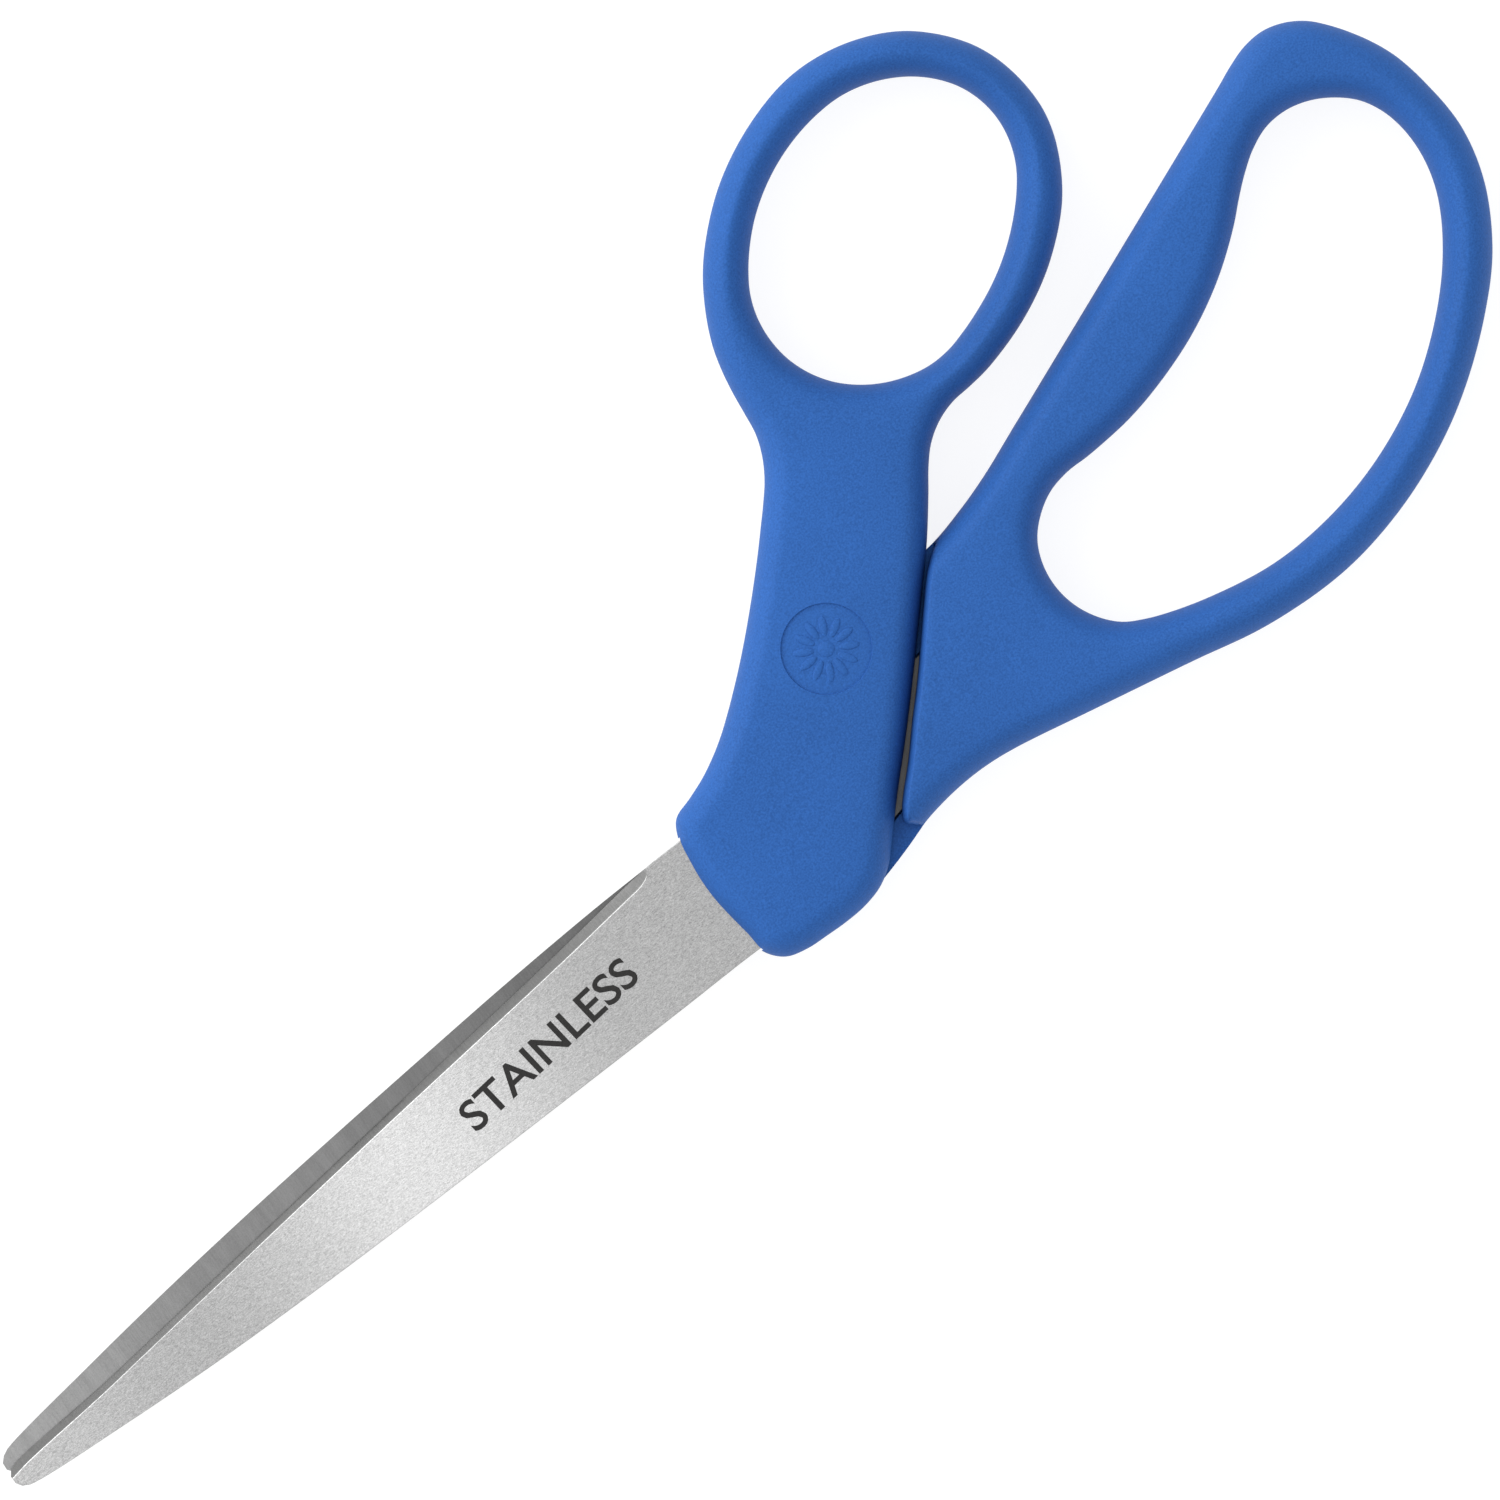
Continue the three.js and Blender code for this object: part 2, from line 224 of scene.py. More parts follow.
def smooth_loop(loop: np.ndarray, spacing: float, corner_angle: float = 40.0) -> np.ndarray:
    """A closed outline redrawn as smooth curves between its sharp corners.

    Args:
        loop: the outline's points.
        spacing: the longest step between the new points.
        corner_angle: the turn, in degrees, from which a point stays sharp.

    Returns:
        The new outline, running the same way.
    """
    before = loop - np.roll(loop, 1, axis=0)
    after = np.roll(loop, -1, axis=0) - loop
    turn = np.abs(
        np.arctan2(
            before[:, 0] * after[:, 1] - before[:, 1] * after[:, 0],
            np.sum(before * after, axis=1),
        )
    )
    corners = np.flatnonzero(turn > math.radians(corner_angle))
    if len(corners) == 0:
        overlap = 3
        wrapped = np.vstack([loop[-overlap:], loop, loop[: overlap + 1]])
        curve = smooth_run(wrapped, spacing)
        first = int(np.argmin(np.linalg.norm(curve - loop[0], axis=1)))
        tail = curve[first + 1 :]
        last = first + 1 + int(np.argmin(np.linalg.norm(tail[len(tail) // 2 :] - loop[0], axis=1)))
        return curve[first : last + len(tail) // 2]
    rolled = np.roll(loop, -corners[0], axis=0)
    stops = [*(corners - corners[0]), len(loop)]
    rolled = np.vstack([rolled, rolled[:1]])
    runs = [
        smooth_run(rolled[a : b + 1], spacing)[:-1] for a, b in zip(stops[:-1], stops[1:])
    ]
    return np.vstack(runs)


def left_normals(run: np.ndarray, closed: bool) -> np.ndarray:
    """The unit normals on the left of a run of points.

    Args:
        run: the points.
        closed: whether the last point leads to the first.

    Returns:
        One normal for each point.
    """
    if closed:
        along = np.roll(run, -1, axis=0) - np.roll(run, 1, axis=0)
    else:
        along = np.gradient(run, axis=0)
    along = along / np.linalg.norm(along, axis=1)[:, None]
    return np.column_stack([-along[:, 1], along[:, 0]])


def circle(centre: tuple[float, float], radius: float, steps: int) -> np.ndarray:
    """Points round a circle, counter-clockwise."""
    angles = np.arange(steps) / steps * 2 * math.pi
    return np.column_stack(
        [centre[0] + radius * np.cos(angles), centre[1] + radius * np.sin(angles)]
    )


def batches(points: np.ndarray) -> list[np.ndarray]:
    """Points in batches of a size that is quick to compare with many segments."""
    return np.array_split(points, max(1, len(points) // BATCH))


def run_distance(points: np.ndarray, starts: np.ndarray, ends: np.ndarray) -> np.ndarray:
    """Each point's distance to the nearest of some straight segments.

    Args:
        points: the points to measure.
        starts: where the segments start.
        ends: where the segments end.

    Returns:
        One distance for each point.
    """
    along = ends - starts
    square = np.maximum(np.sum(along * along, axis=1), 1e-18)
    found = []
    for part in batches(points):
        to = part[:, None, :] - starts[None]
        share = np.clip(np.sum(to * along, axis=2) / square, 0, 1)
        found.append(np.sqrt(np.min(np.sum((to - share[..., None] * along) ** 2, axis=2), axis=1)))
    return np.concatenate(found)


@dataclass
class Region:
    """A flat region: its outer outline and its holes, with the solid on their left."""

    loops: list[np.ndarray]
    starts: np.ndarray = field(init=False)
    ends: np.ndarray = field(init=False)

    def __post_init__(self) -> None:
        """Lists the outlines' segments."""
        self.starts = np.vstack(self.loops)
        self.ends = np.vstack([np.roll(loop, -1, axis=0) for loop in self.loops])

    def edge_distance(self, points: np.ndarray) -> np.ndarray:
        """Each point's distance to the region's edge."""
        return run_distance(points, self.starts, self.ends)

    def contains(self, points: np.ndarray) -> np.ndarray:
        """Whether each point is in the region, by counting the edges to its right.

        Args:
            points: the points to test.

        Returns:
            True or False for each point.
        """
        inside = []
        (ax, ay), (bx, by) = self.starts.T, self.ends.T
        rise = np.where(by == ay, 1e-12, by - ay)
        for part in batches(points):
            x, y = part[:, :1], part[:, 1:]
            crosses = ((ay > y) != (by > y)) & (x < ax + (y - ay) / rise * (bx - ax))
            inside.append(crosses.sum(axis=1) % 2 == 1)
        return np.concatenate(inside)

    def soft_depth(self, points: np.ndarray) -> np.ndarray:
        """A depth in from the edge that is smooth everywhere, also along the middle.

        Args:
            points: points in the region.

        Returns:
            About the distance near a straight edge, and less between two edges.
        """
        middles = (self.starts + self.ends) / 2
        lengths = np.linalg.norm(self.ends - self.starts, axis=1)
        depth = []
        for part in batches(points):
            square = np.sum((part[:, None, :] - middles[None]) ** 2, axis=2)
            total = np.sum(lengths / np.maximum(square, 0.04) ** 2, axis=1)
            depth.append((math.pi / 2 / total) ** (1 / 3))
        return np.concatenate(depth)


# ---- Meshes -------------------------------------------------------------------------------


@dataclass
class Lines:
    """Points and creases inside a region, which its triangles have to use."""

    points: list[np.ndarray] = field(default_factory=list)
    edges: list[np.ndarray] = field(default_factory=list)
    count: int = 0

    def add_points(self, points: np.ndarray) -> None:
        """Adds loose points."""
        self.points.append(points)
        self.count += len(points)

    def add_run(self, run: np.ndarray, kept: np.ndarray, closed: bool) -> None:
        """Adds a crease along a run of points, broken where a point isn't kept.

        Args:
            run: the points.
            kept: which of them are used.
            closed: whether the last point leads to the first.
        """
        number = np.full(len(run), -1)
        number[kept] = self.count + np.arange(int(kept.sum()))
        links = np.column_stack([number, np.roll(number, -1)])
        if not closed:
            links = links[:-1]
        self.edges.append(links[(links >= 0).all(axis=1)])
        self.add_points(run[kept])


def triangulate(
    region: Region, lines: Lines
) -> tuple[np.ndarray, np.ndarray, np.ndarray]:
    """Triangles that fill a region.

    Args:
        region: the region.
        lines: points and creases inside it.

    Returns:
        The points, the triangles (counter-clockwise), and for each point its place among the
        region's own edge points, or -1.
    """
    edge_points = region.starts
    links, offset = [], 0
    for loop in region.loops:
        order = offset + np.arange(len(loop))
        links.append(np.column_stack([order, np.roll(order, -1)]))
        offset += len(loop)
    links += [edges + offset for edges in lines.edges]
    everything = np.vstack([edge_points, *lines.points])
    made = delaunay_2d_cdt(
        [Vector(point) for point in everything], np.vstack(links).tolist(), [], 0, 1e-5, True
    )
    points = np.array([tuple(point) for point in made[0]])
    triangles = np.array([face for face in made[2] if len(face) == 3])
    place = np.array([min(ids) if ids and min(ids) < offset else -1 for ids in made[3]])
    known = place >= 0
    points[known] = edge_points[place[known]]
    corners = points[triangles]
    side, other = corners[:, 1] - corners[:, 0], corners[:, 2] - corners[:, 0]
    thin = np.abs(side[:, 0] * other[:, 1] - side[:, 1] * other[:, 0]) < 1e-5
    inside = region.contains(corners.mean(axis=1)) & ~thin
    used = {tuple(sorted(pair)) for t in triangles[inside] for pair in zip(t, np.roll(t, -1))}
    for i in np.flatnonzero(thin):
        # A sliver along a straight edge belongs where its long side has a neighbour.
        lengths = np.linalg.norm(corners[i] - np.roll(corners[i], -1, axis=0), axis=1)
        longest = int(np.argmax(lengths))
        pair = triangles[i][longest], triangles[i][(longest + 1) % 3]
        inside[i] = tuple(sorted(pair)) in used
    return points, triangles[inside], place


@dataclass
class Solid:
    """A closed mesh as it is being put together."""

    vertices: list[np.ndarray] = field(default_factory=list)
    faces: list[np.ndarray] = field(default_factory=list)
    finish: list[np.ndarray] = field(default_factory=list)
    count: int = 0

    def add_vertices(self, points: np.ndarray) -> np.ndarray:
        """Adds vertices and returns their numbers."""
        numbers = self.count + np.arange(len(points))
        self.vertices.append(points)
        self.count += len(points)
        return numbers

    def add_faces(self, faces: np.ndarray, facing: Facing, finish: np.ndarray | int = 0) -> None:
        """Adds triangles.

        Args:
            faces: vertex numbers, counter-clockwise from above.
            facing: DOWN turns them over.
            finish: the material's place, one for all or one for each.
        """
        self.faces.append(faces if facing is Facing.UP else faces[:, ::-1])
        self.finish.append(np.broadcast_to(np.asarray(finish), (len(faces),)))

    def add_sheet(
        self,
        region: Region,
        lines: Lines,
        edge: np.ndarray,
        heights: OverPoints,
        facing: Facing,
        finish: OverPoints | int = 0,
    ) -> None:
        """Adds a sheet over a region whose edge vertices exist already.

        Args:
            region: the region.
            lines: points and creases inside it.
            edge: the numbers of the vertices at the region's edge.
            heights: gives the height of each of some points.
            facing: which way the sheet looks.
            finish: the material's place, or what gives it for each of some points.
        """
        points, triangles, place = triangulate(region, lines)
        new = place < 0
        numbers = np.empty(len(points), int)
        numbers[~new] = edge[place[~new]]
        numbers[new] = self.add_vertices(np.column_stack([points[new], heights(points[new])]))
        chosen = finish(points[triangles].mean(axis=1)) if callable(finish) else finish
        self.add_faces(numbers[triangles], facing, chosen)

    def add_wall(self, low: np.ndarray, high: np.ndarray, sizes: list[int], finish: int = 0) -> None:
        """Joins two levels of the same outlines, with the solid on their left.

        Args:
            low: the lower vertices' numbers.
            high: the upper vertices' numbers.
            sizes: how many points each outline has.
            finish: the material's place.
        """
        offset = 0
        for size in sizes:
            a, b = low[offset : offset + size], high[offset : offset + size]
            c, d = np.roll(a, -1), np.roll(b, -1)
            self.add_faces(np.column_stack([a, c, d]), Facing.UP, finish)
            self.add_faces(np.column_stack([a, d, b]), Facing.UP, finish)
            offset += size

    def build(self, name: str, finishes: list[bpy.types.Material], sharp: float) -> bpy.types.Object:
        """Makes the object.

        Args:
            name: its name.
            finishes: its materials, in order.
            sharp: the angle between faces, in degrees, from which an edge is sharp.

        Returns:
            The object, at the origin.
        """
        vertices = np.vstack(self.vertices)
        faces = np.vstack(self.faces)
        finish = np.concatenate(self.finish)
        mesh = bpy.data.meshes.new(name)
        mesh.from_pydata((vertices * MM).tolist(), [], faces.tolist())
        mesh.polygons.foreach_set("material_index", finish.astype(np.int32))
        return shown(name, mesh, finishes, sharp)


def placed(name: str, data: bpy.types.ID) -> bpy.types.Object:
    """A new object in the scene, at the origin.

    Args:
        name: its name.
        data: its mesh, curve, camera or light.

    Returns:
        The object.
    """
    made = bpy.data.objects.new(name, data)
    bpy.context.scene.collection.objects.link(made)
    return made


def evaluated_mesh(source: bpy.types.Object) -> bpy.types.Mesh:
    """An object's mesh with its modifiers applied, or a text's outline as a mesh."""
    depsgraph = bpy.context.evaluated_depsgraph_get()
    return bpy.data.meshes.new_from_object(source.evaluated_get(depsgraph))


def shown(
    name: str, mesh: bpy.types.Mesh, finishes: list[bpy.types.Material], sharp: float
) -> bpy.types.Object:
    """Puts a mesh in the scene, smooth but for its sharp edges.

    Args:
        name: the object's name.
        mesh: its mesh.
        finishes: its materials, in order.
        sharp: the angle between faces, in degrees, from which an edge is sharp.

    Returns:
        The object, at the origin.
    """
    mesh.name = name
    if not mesh.materials:  # what comes out of Geometry Nodes has its own
        for finish in finishes:
            mesh.materials.append(finish)
    mesh.update()
    mesh.shade_smooth()
    mesh.set_sharp_from_angle(angle=math.radians(sharp))
    return placed(name, mesh)


def weld(mesh: bpy.types.Mesh) -> None:
    """Merges a mesh's doubled vertices and turns its faces outwards.

    Args:
        mesh: the mesh, which is changed.
    """
    work = bmesh.new()
    work.from_mesh(mesh)
    bmesh.ops.remove_doubles(work, verts=work.verts, dist=1e-5)
    bmesh.ops.recalc_face_normals(work, faces=work.faces)
    work.to_mesh(mesh)
    work.free()


def prism(loops: list[np.ndarray], bottom: float, top: float) -> bpy.types.Object:
    """A straight-sided solid, used to cut others.

    Args:
        loops: its outlines, with the solid on their left.
        bottom: its lower level.
        top: its upper level.

    Returns:
        The object.
    """
    region = Region(loops)
    solid = Solid()
    edge = region.starts
    low = solid.add_vertices(np.column_stack([edge, np.full(len(edge), bottom)]))
    high = solid.add_vertices(np.column_stack([edge, np.full(len(edge), top)]))
    solid.add_sheet(region, Lines(), low, lambda p: np.full(len(p), bottom), Facing.DOWN)
    solid.add_sheet(region, Lines(), high, lambda p: np.full(len(p), top), Facing.UP)
    solid.add_wall(low, high, [len(loop) for loop in loops])
    return solid.build("cutter", [], sharp=30)


def turned(
    name: str, profile: list[tuple[float, float]], finishes: list[bpy.types.Material], steps: int = 96
) -> bpy.types.Object:
    """A solid turned about the pivot axis.

    Args:
        name: the object's name.
        profile: (radius, height) points, counter-clockwise with the axis on the left. A solid
            without a bore starts and ends at radius 0; a ring's profile closes on itself.
        finishes: its materials.
        steps: how many sides the turning has.

    Returns:
        The object.
    """
    bored = profile[0][0] > 0
    vertices, rings = [], []
    for radius, height in profile:
        first = len(vertices)
        if radius == 0:
            vertices.append((0.0, 0.0, height))
            rings.append([first] * steps)
            continue
        vertices += [(x, y, height) for x, y in circle((0, 0), radius, steps)]
        rings.append(list(range(first, first + steps)))
    if bored:
        rings.append(rings[0])
    faces = []
    for low, high in zip(rings[:-1], rings[1:]):
        for i in range(steps):
            j = (i + 1) % steps
            corners = list(dict.fromkeys([low[i], low[j], high[j], high[i]]))
            if len(corners) > 2:
                faces.append(corners)
    mesh = bpy.data.meshes.new(name)
    mesh.from_pydata([tuple(c * MM for c in v) for v in vertices], [], faces)
    return shown(name, mesh, finishes, sharp=35)


def cut(piece: bpy.types.Object, cutters: list[bpy.types.Object]) -> None:
    """Cuts solids out of a piece and removes them.

    Args:
        piece: the piece, whose mesh is replaced.
        cutters: what is cut away.
    """
    for cutter in cutters:
        modifier = piece.modifiers.new("cut", "BOOLEAN")
        modifier.operation = "DIFFERENCE"
        modifier.solver = "MANIFOLD"
        modifier.object = cutter
    made = evaluated_mesh(piece)
    piece.modifiers.clear()
    piece.data = made
    for cutter in cutters:
        bpy.data.objects.remove(cutter)


# ---- Finishes -----------------------------------------------------------------------------


@dataclass(frozen=True)
class NodeTree:
    """Short calls for building a material's nodes."""

    tree: bpy.types.NodeTree

    def node(self, kind: str, **inputs: object) -> bpy.types.Node:
        """Adds a node.

        Args:
            kind: its bl_idname.
            inputs: its sockets by name, with spaces as underscores. A value is either a
                constant or the socket that feeds it.

        Returns:
            The node.
        """
        made = self.tree.nodes.new(kind)
        for name, value in inputs.items():
            socket = made.inputs[name.replace("_", " ")]
            if isinstance(value, bpy.types.NodeSocket):
                self.tree.links.new(value, socket)
            else:
                socket.default_value = value
        return made

    def noise(self, vector: bpy.types.NodeSocket, scale: float, detail: float) -> bpy.types.NodeSocket:
        """Noise of a given scale, per millimetre of its coordinates."""
        return self.node("ShaderNodeTexNoise", Vector=vector, Scale=scale, Detail=detail).outputs[0]

    def stretched(self, scale: tuple[float, float, float], turn: float = 0.0) -> bpy.types.NodeSocket:
        """Object coordinates in millimetres, turned about Z and then stretched.

        Args:
            scale: how many cells go in a millimetre, along each axis.
            turn: the turn, in degrees.

        Returns:
            The coordinates.
        """
        place = self.node("ShaderNodeTexCoord").outputs["Object"]
        turned_place = self.node(
            "ShaderNodeMapping", Vector=place, Rotation=(0, 0, math.radians(turn))
        ).outputs[0]
        per_metre = tuple(value / MM for value in scale)
        return self.node("ShaderNodeMapping", Vector=turned_place, Scale=per_metre).outputs[0]

    def mixed(
        self, first: bpy.types.NodeSocket, second: bpy.types.NodeSocket, share: float
    ) -> bpy.types.NodeSocket:
        """A value between two others, nearer the second as the share rises.

        Args:
            first: the value at share 0.
            second: the value at share 1.
            share: how far the result goes to the second.

        Returns:
            The value.
        """
        made = self.tree.nodes.new("ShaderNodeMix")
        made.data_type = "FLOAT"
        made.inputs[0].default_value = share
        self.tree.links.new(first, made.inputs[2])
        self.tree.links.new(second, made.inputs[3])
        return made.outputs[0]

    def multiplied(
        self, colour: bpy.types.NodeSocket, share: bpy.types.NodeSocket
    ) -> bpy.types.NodeSocket:
        """A colour multiplied by a value.

        Args:
            colour: the colour.
            share: the value.

        Returns:
            The product.
        """
        made = self.tree.nodes.new("ShaderNodeMix")
        made.data_type = "RGBA"
        made.blend_type = "MULTIPLY"
        made.inputs[0].default_value = 1.0
        self.tree.links.new(colour, made.inputs[6])
        self.tree.links.new(share, made.inputs[7])
        return made.outputs[2]

    def along_blade(self, painted_light_tones: tuple[tuple[float, float], ...]) -> bpy.types.NodeSocket:
        """A value that changes with the distance along X, used to paint light and shade along a blade.

        Args:
            painted_light_tones: (millimetres, value) pairs in order, with values up to 2.

        Returns:
            The value.
        """
        place = self.node("ShaderNodeTexCoord").outputs["Object"]
        x = self.node("ShaderNodeSeparateXYZ", Vector=place).outputs[0]
        first, last = painted_light_tones[0][0], painted_light_tones[-1][0]
        peak = 2.0  # a ramp holds values up to 1, so they are halved in it
        share = self.between(x, 0, 1, first * MM, last * MM)
        ramp = self.tree.nodes.new("ShaderNodeValToRGB")
        ramp.color_ramp.interpolation = "EASE"
        self.tree.links.new(share, ramp.inputs[0])
        stops = ramp.color_ramp.elements
        for _ in painted_light_tones[2:]:
            stops.new(0.5)
        for stop, (_, value) in zip(list(stops), painted_light_tones):
            stop.color = (value / peak, value / peak, value / peak, 1)
        for stop, (at, _) in zip(list(stops), painted_light_tones):
            stop.position = (at - first) / (last - first)
        restored = self.tree.nodes.new("ShaderNodeMath")
        restored.operation = "MULTIPLY"
        restored.inputs[1].default_value = peak
        self.tree.links.new(ramp.outputs[0], restored.inputs[0])
        return restored.outputs[0]

    def between(
        self, factor: bpy.types.NodeSocket, low: float, high: float, start: float = 0.3, stop: float = 0.7
    ) -> bpy.types.NodeSocket:
        """A value that goes from low to high as the factor goes from start to stop.

        Args:
            factor: what it follows.
            low: the value at the start.
            high: the value at the stop.
            start: the factor where it starts to change.
            stop: the factor where it stops changing.

        Returns:
            The value.
        """
        made = self.node("ShaderNodeMapRange", Value=factor)
        for name, value in (("From Min", start), ("From Max", stop), ("To Min", low), ("To Max", high)):
            made.inputs[name].default_value = value
        return made.outputs[0]

    def colours(
        self, factor: bpy.types.NodeSocket, dark: tuple[float, ...], light: tuple[float, ...]
    ) -> bpy.types.NodeSocket:
        """A colour between two, by a factor that is mostly from 0.3 to 0.7.

        Args:
            factor: what it follows.
            dark: the colour at 0.3.
            light: the colour at 0.7.

        Returns:
            The colour.
        """
        ramp = self.tree.nodes.new("ShaderNodeValToRGB")
        self.tree.links.new(factor, ramp.inputs[0])
        for stop, place, colour in zip(ramp.color_ramp.elements, (0.3, 0.7), (dark, light)):
            stop.position = place
            stop.color = (*colour, 1)
        return ramp.outputs[0]


def blank_material(name: str) -> tuple[bpy.types.Material, NodeTree, bpy.types.Node]:
    """A new material with a Principled shader.

    Args:
        name: its name.

    Returns:
        The material, its tree and its shader.
    """
    material = bpy.data.materials.new(name)
    material.use_nodes = True
    return material, NodeTree(material.node_tree), material.node_tree.nodes["Principled BSDF"]


def shade(colour: tuple[float, ...], share: float) -> tuple[float, ...]:
    """A colour made lighter or darker by a share."""
    return tuple(min(1.0, channel * share) for channel in colour)


@dataclass(frozen=True)
class MouldedPlastic:
    """Plastic from a mould with a fine spark texture."""

    name: str
    colour: tuple[float, float, float]
    roughness: float
    specular: float
    grain: float = 0.2  # size of the texture's cells
    grain_height: float = 0.012
    mottle: float = 0.22  # share by which the grain is lighter or darker
    cell_share: float = 0.72  # of the mottle that follows the cells, beside broad clouds

    def material(self) -> bpy.types.Material:
        """Builds the material."""
        material, tree, shader = blank_material(self.name)
        fine = tree.stretched((1 / self.grain,) * 3)
        cells = tree.noise(fine, 1.0, 2.0)
        clouds = tree.noise(tree.stretched((0.06, 0.06, 0.06)), 1.0, 3.0)
        mottle = tree.mixed(clouds, cells, self.cell_share)
        dark, light = 1 - self.mottle, 1 + self.mottle
        colour = tree.colours(mottle, shade(self.colour, dark), shade(self.colour, light))
        tree.tree.links.new(colour, shader.inputs["Base Color"])
        rough = tree.between(clouds, self.roughness - 0.04, self.roughness + 0.05)
        tree.tree.links.new(rough, shader.inputs["Roughness"])
        shader.inputs["Specular IOR Level"].default_value = self.specular
        bump = tree.node("ShaderNodeBump", Height=cells, Strength=0.35, Distance=self.grain_height * MM)
        tree.tree.links.new(bump.outputs[0], shader.inputs["Normal"])
        return material


@dataclass(frozen=True)
class GroundSteel:
    """Stainless steel, ground or brushed one way, with light and shade painted along the blade where
    brightness steps are given.
    """

    name: str
    colour: tuple[float, float, float]
    roughness: float
    lay: float  # direction of the scratches, in degrees from +X
    scratch: tuple[float, float] = (0.35, 12.0)  # cells a millimetre along and across the lay
    bands: float = 0.0  # share by which broad grinding bands darken it
    contrast: float = 0.24  # share by which the grain is lighter or darker
    height: float = 0.004
    specks: tuple[float, float, float] = (10.0, 13.0, 10.0)  # cells a millimetre
    speck_share: float = 0.6  # of the grain that is specks, beside scratches
    painted_light_tones: tuple[tuple[float, float], ...] = ()  # painted light and shade: brightness by distance along the blade, in place of reflections

    def material(self) -> bpy.types.Material:
        """Builds the material."""
        material, tree, shader = blank_material(self.name)
        along, across = self.scratch
        lines = tree.noise(tree.stretched((along, across, along), -self.lay), 1.0, 3.0)
        speckle = tree.noise(tree.stretched(self.specks, -self.lay), 1.0, 2.0)
        broad = tree.noise(tree.stretched((0.55, 0.04, 0.04)), 1.0, 1.0)
        grain = tree.mixed(lines, speckle, self.speck_share)
        dark, light = 1 - self.contrast, 1 + self.contrast
        colour = tree.colours(grain, shade(self.colour, dark), shade(self.colour, light))
        if self.bands:
            colour = tree.multiplied(colour, tree.between(broad, 1 - self.bands, 1.0))
        # multiplies in the painted light and shade along the blade
        if self.painted_light_tones:
            colour = tree.multiplied(colour, tree.along_blade(self.painted_light_tones))
        tree.tree.links.new(colour, shader.inputs["Base Color"])
        shader.inputs["Metallic"].default_value = 1.0
        rough = tree.between(grain, self.roughness - 0.05, self.roughness + 0.06)
        tree.tree.links.new(rough, shader.inputs["Roughness"])
        bump = tree.node("ShaderNodeBump", Height=lines, Strength=0.4, Distance=self.height * MM)
        tree.tree.links.new(bump.outputs[0], shader.inputs["Normal"])
        return material


@dataclass(frozen=True)
class EtchedInk:
    """The dark oxide of an electro-etched mark."""

    name: str = "etched_oxide"
    colour: tuple[float, float, float] = (0.017, 0.0165, 0.016)
    roughness: float = 0.6

    def material(self) -> bpy.types.Material:
        """Builds the material."""
        material, tree, shader = blank_material(self.name)
        specks = tree.noise(tree.stretched((9.0, 9.0, 9.0)), 1.0, 3.0)
        colour = tree.colours(specks, shade(self.colour, 0.7), shade(self.colour, 1.6))
        tree.tree.links.new(colour, shader.inputs["Base Color"])
        rough = tree.between(specks, self.roughness - 0.1, self.roughness + 0.1)
        tree.tree.links.new(rough, shader.inputs["Roughness"])
        shader.inputs["Specular IOR Level"].default_value = 0.2
        return material


@dataclass(frozen=True)
class PaleFloor:
    """A matt white sheet for the floor, lit through a little from below."""

    name: str = "studio_floor"
    colour: tuple[float, float, float] = (0.24, 0.24, 0.24)
    glow: float = 0.85  # strength of the light that comes through

    def material(self) -> bpy.types.Material:
        """Builds the material."""
        material, tree, shader = blank_material(self.name)
        clouds = tree.noise(tree.stretched((0.01, 0.01, 0.01)), 1.0, 2.0)
        colour = tree.colours(clouds, shade(self.colour, 0.99), shade(self.colour, 1.01))
        tree.tree.links.new(colour, shader.inputs["Base Color"])
        shader.inputs["Emission Color"].default_value = (1, 1, 1, 1)
        shader.inputs["Emission Strength"].default_value = self.glow
        shader.inputs["Roughness"].default_value = 0.9
        shader.inputs["Specular IOR Level"].default_value = 0.1
        return material


BLUE_PLASTIC = MouldedPlastic("blue_moulded_plastic", (0.0245, 0.0985, 0.333), 0.54, 0.07)
NYLON = MouldedPlastic("natural_nylon", (0.72, 0.70, 0.64), 0.4, 0.5, grain_height=0.004, mottle=0.07)
# The outer face's brightness steps paint a reflected highlight at mid-blade and at the tip, and darker
# reflection near the pivot and at three quarters of the length.
SATIN_FACE = GroundSteel(
    "satin_outer_face",
    (0.5, 0.5, 0.5),
    0.34,
    -2.0,
    (2.2, 11.0),
    contrast=0.46,
    painted_light_tones=((0.0, 0.78), (22.0, 0.8), (50.0, 1.1), (78.0, 0.82), (100.0, 1.0)),
)
# The bevel's low colour paints the dark reflection its tilted faces pick up, and its brightness steps paint
# lighter reflection from mid-blade to three quarters of the length.
GROUND_BEVEL = GroundSteel(
    "ground_bevel",
    (0.2, 0.2, 0.198),
    0.36,
    90.0,
    (0.6, 9.0),
    contrast=0.2,
    painted_light_tones=((14.0, 1.15), (28.0, 0.96), (50.0, 1.33), (74.0, 1.55), (100.0, 0.93)),
)
# The inner face's low colour paints shade on it, and its brightness steps paint that shade deepest at the
# pivot and in the gap between the handles, lightening towards the tip; its broad bands are random tone.
INNER_FACE = GroundSteel(
    "cross_ground_inner_face",
    (0.27, 0.27, 0.27),
    0.38,
    86.0,
    (0.5, 8.0),
    0.12,
    contrast=0.2,
    painted_light_tones=((-20.0, 0.42), (18.0, 0.54), (45.0, 0.66), (65.0, 0.84), (100.0, 1.3)),
)
RIVET_STEEL = GroundSteel("turned_rivet_steel", (0.58, 0.58, 0.59), 0.26, 20.0, (1.5, 6.0))


# ---- Studio -------------------------------------------------------------------------------


@dataclass
class Softbox:
    """A square soft light that points at the object."""

    name: str
    place: tuple[float, float, float]  # in metres: right, up and towards the camera
    size: float
    power: float


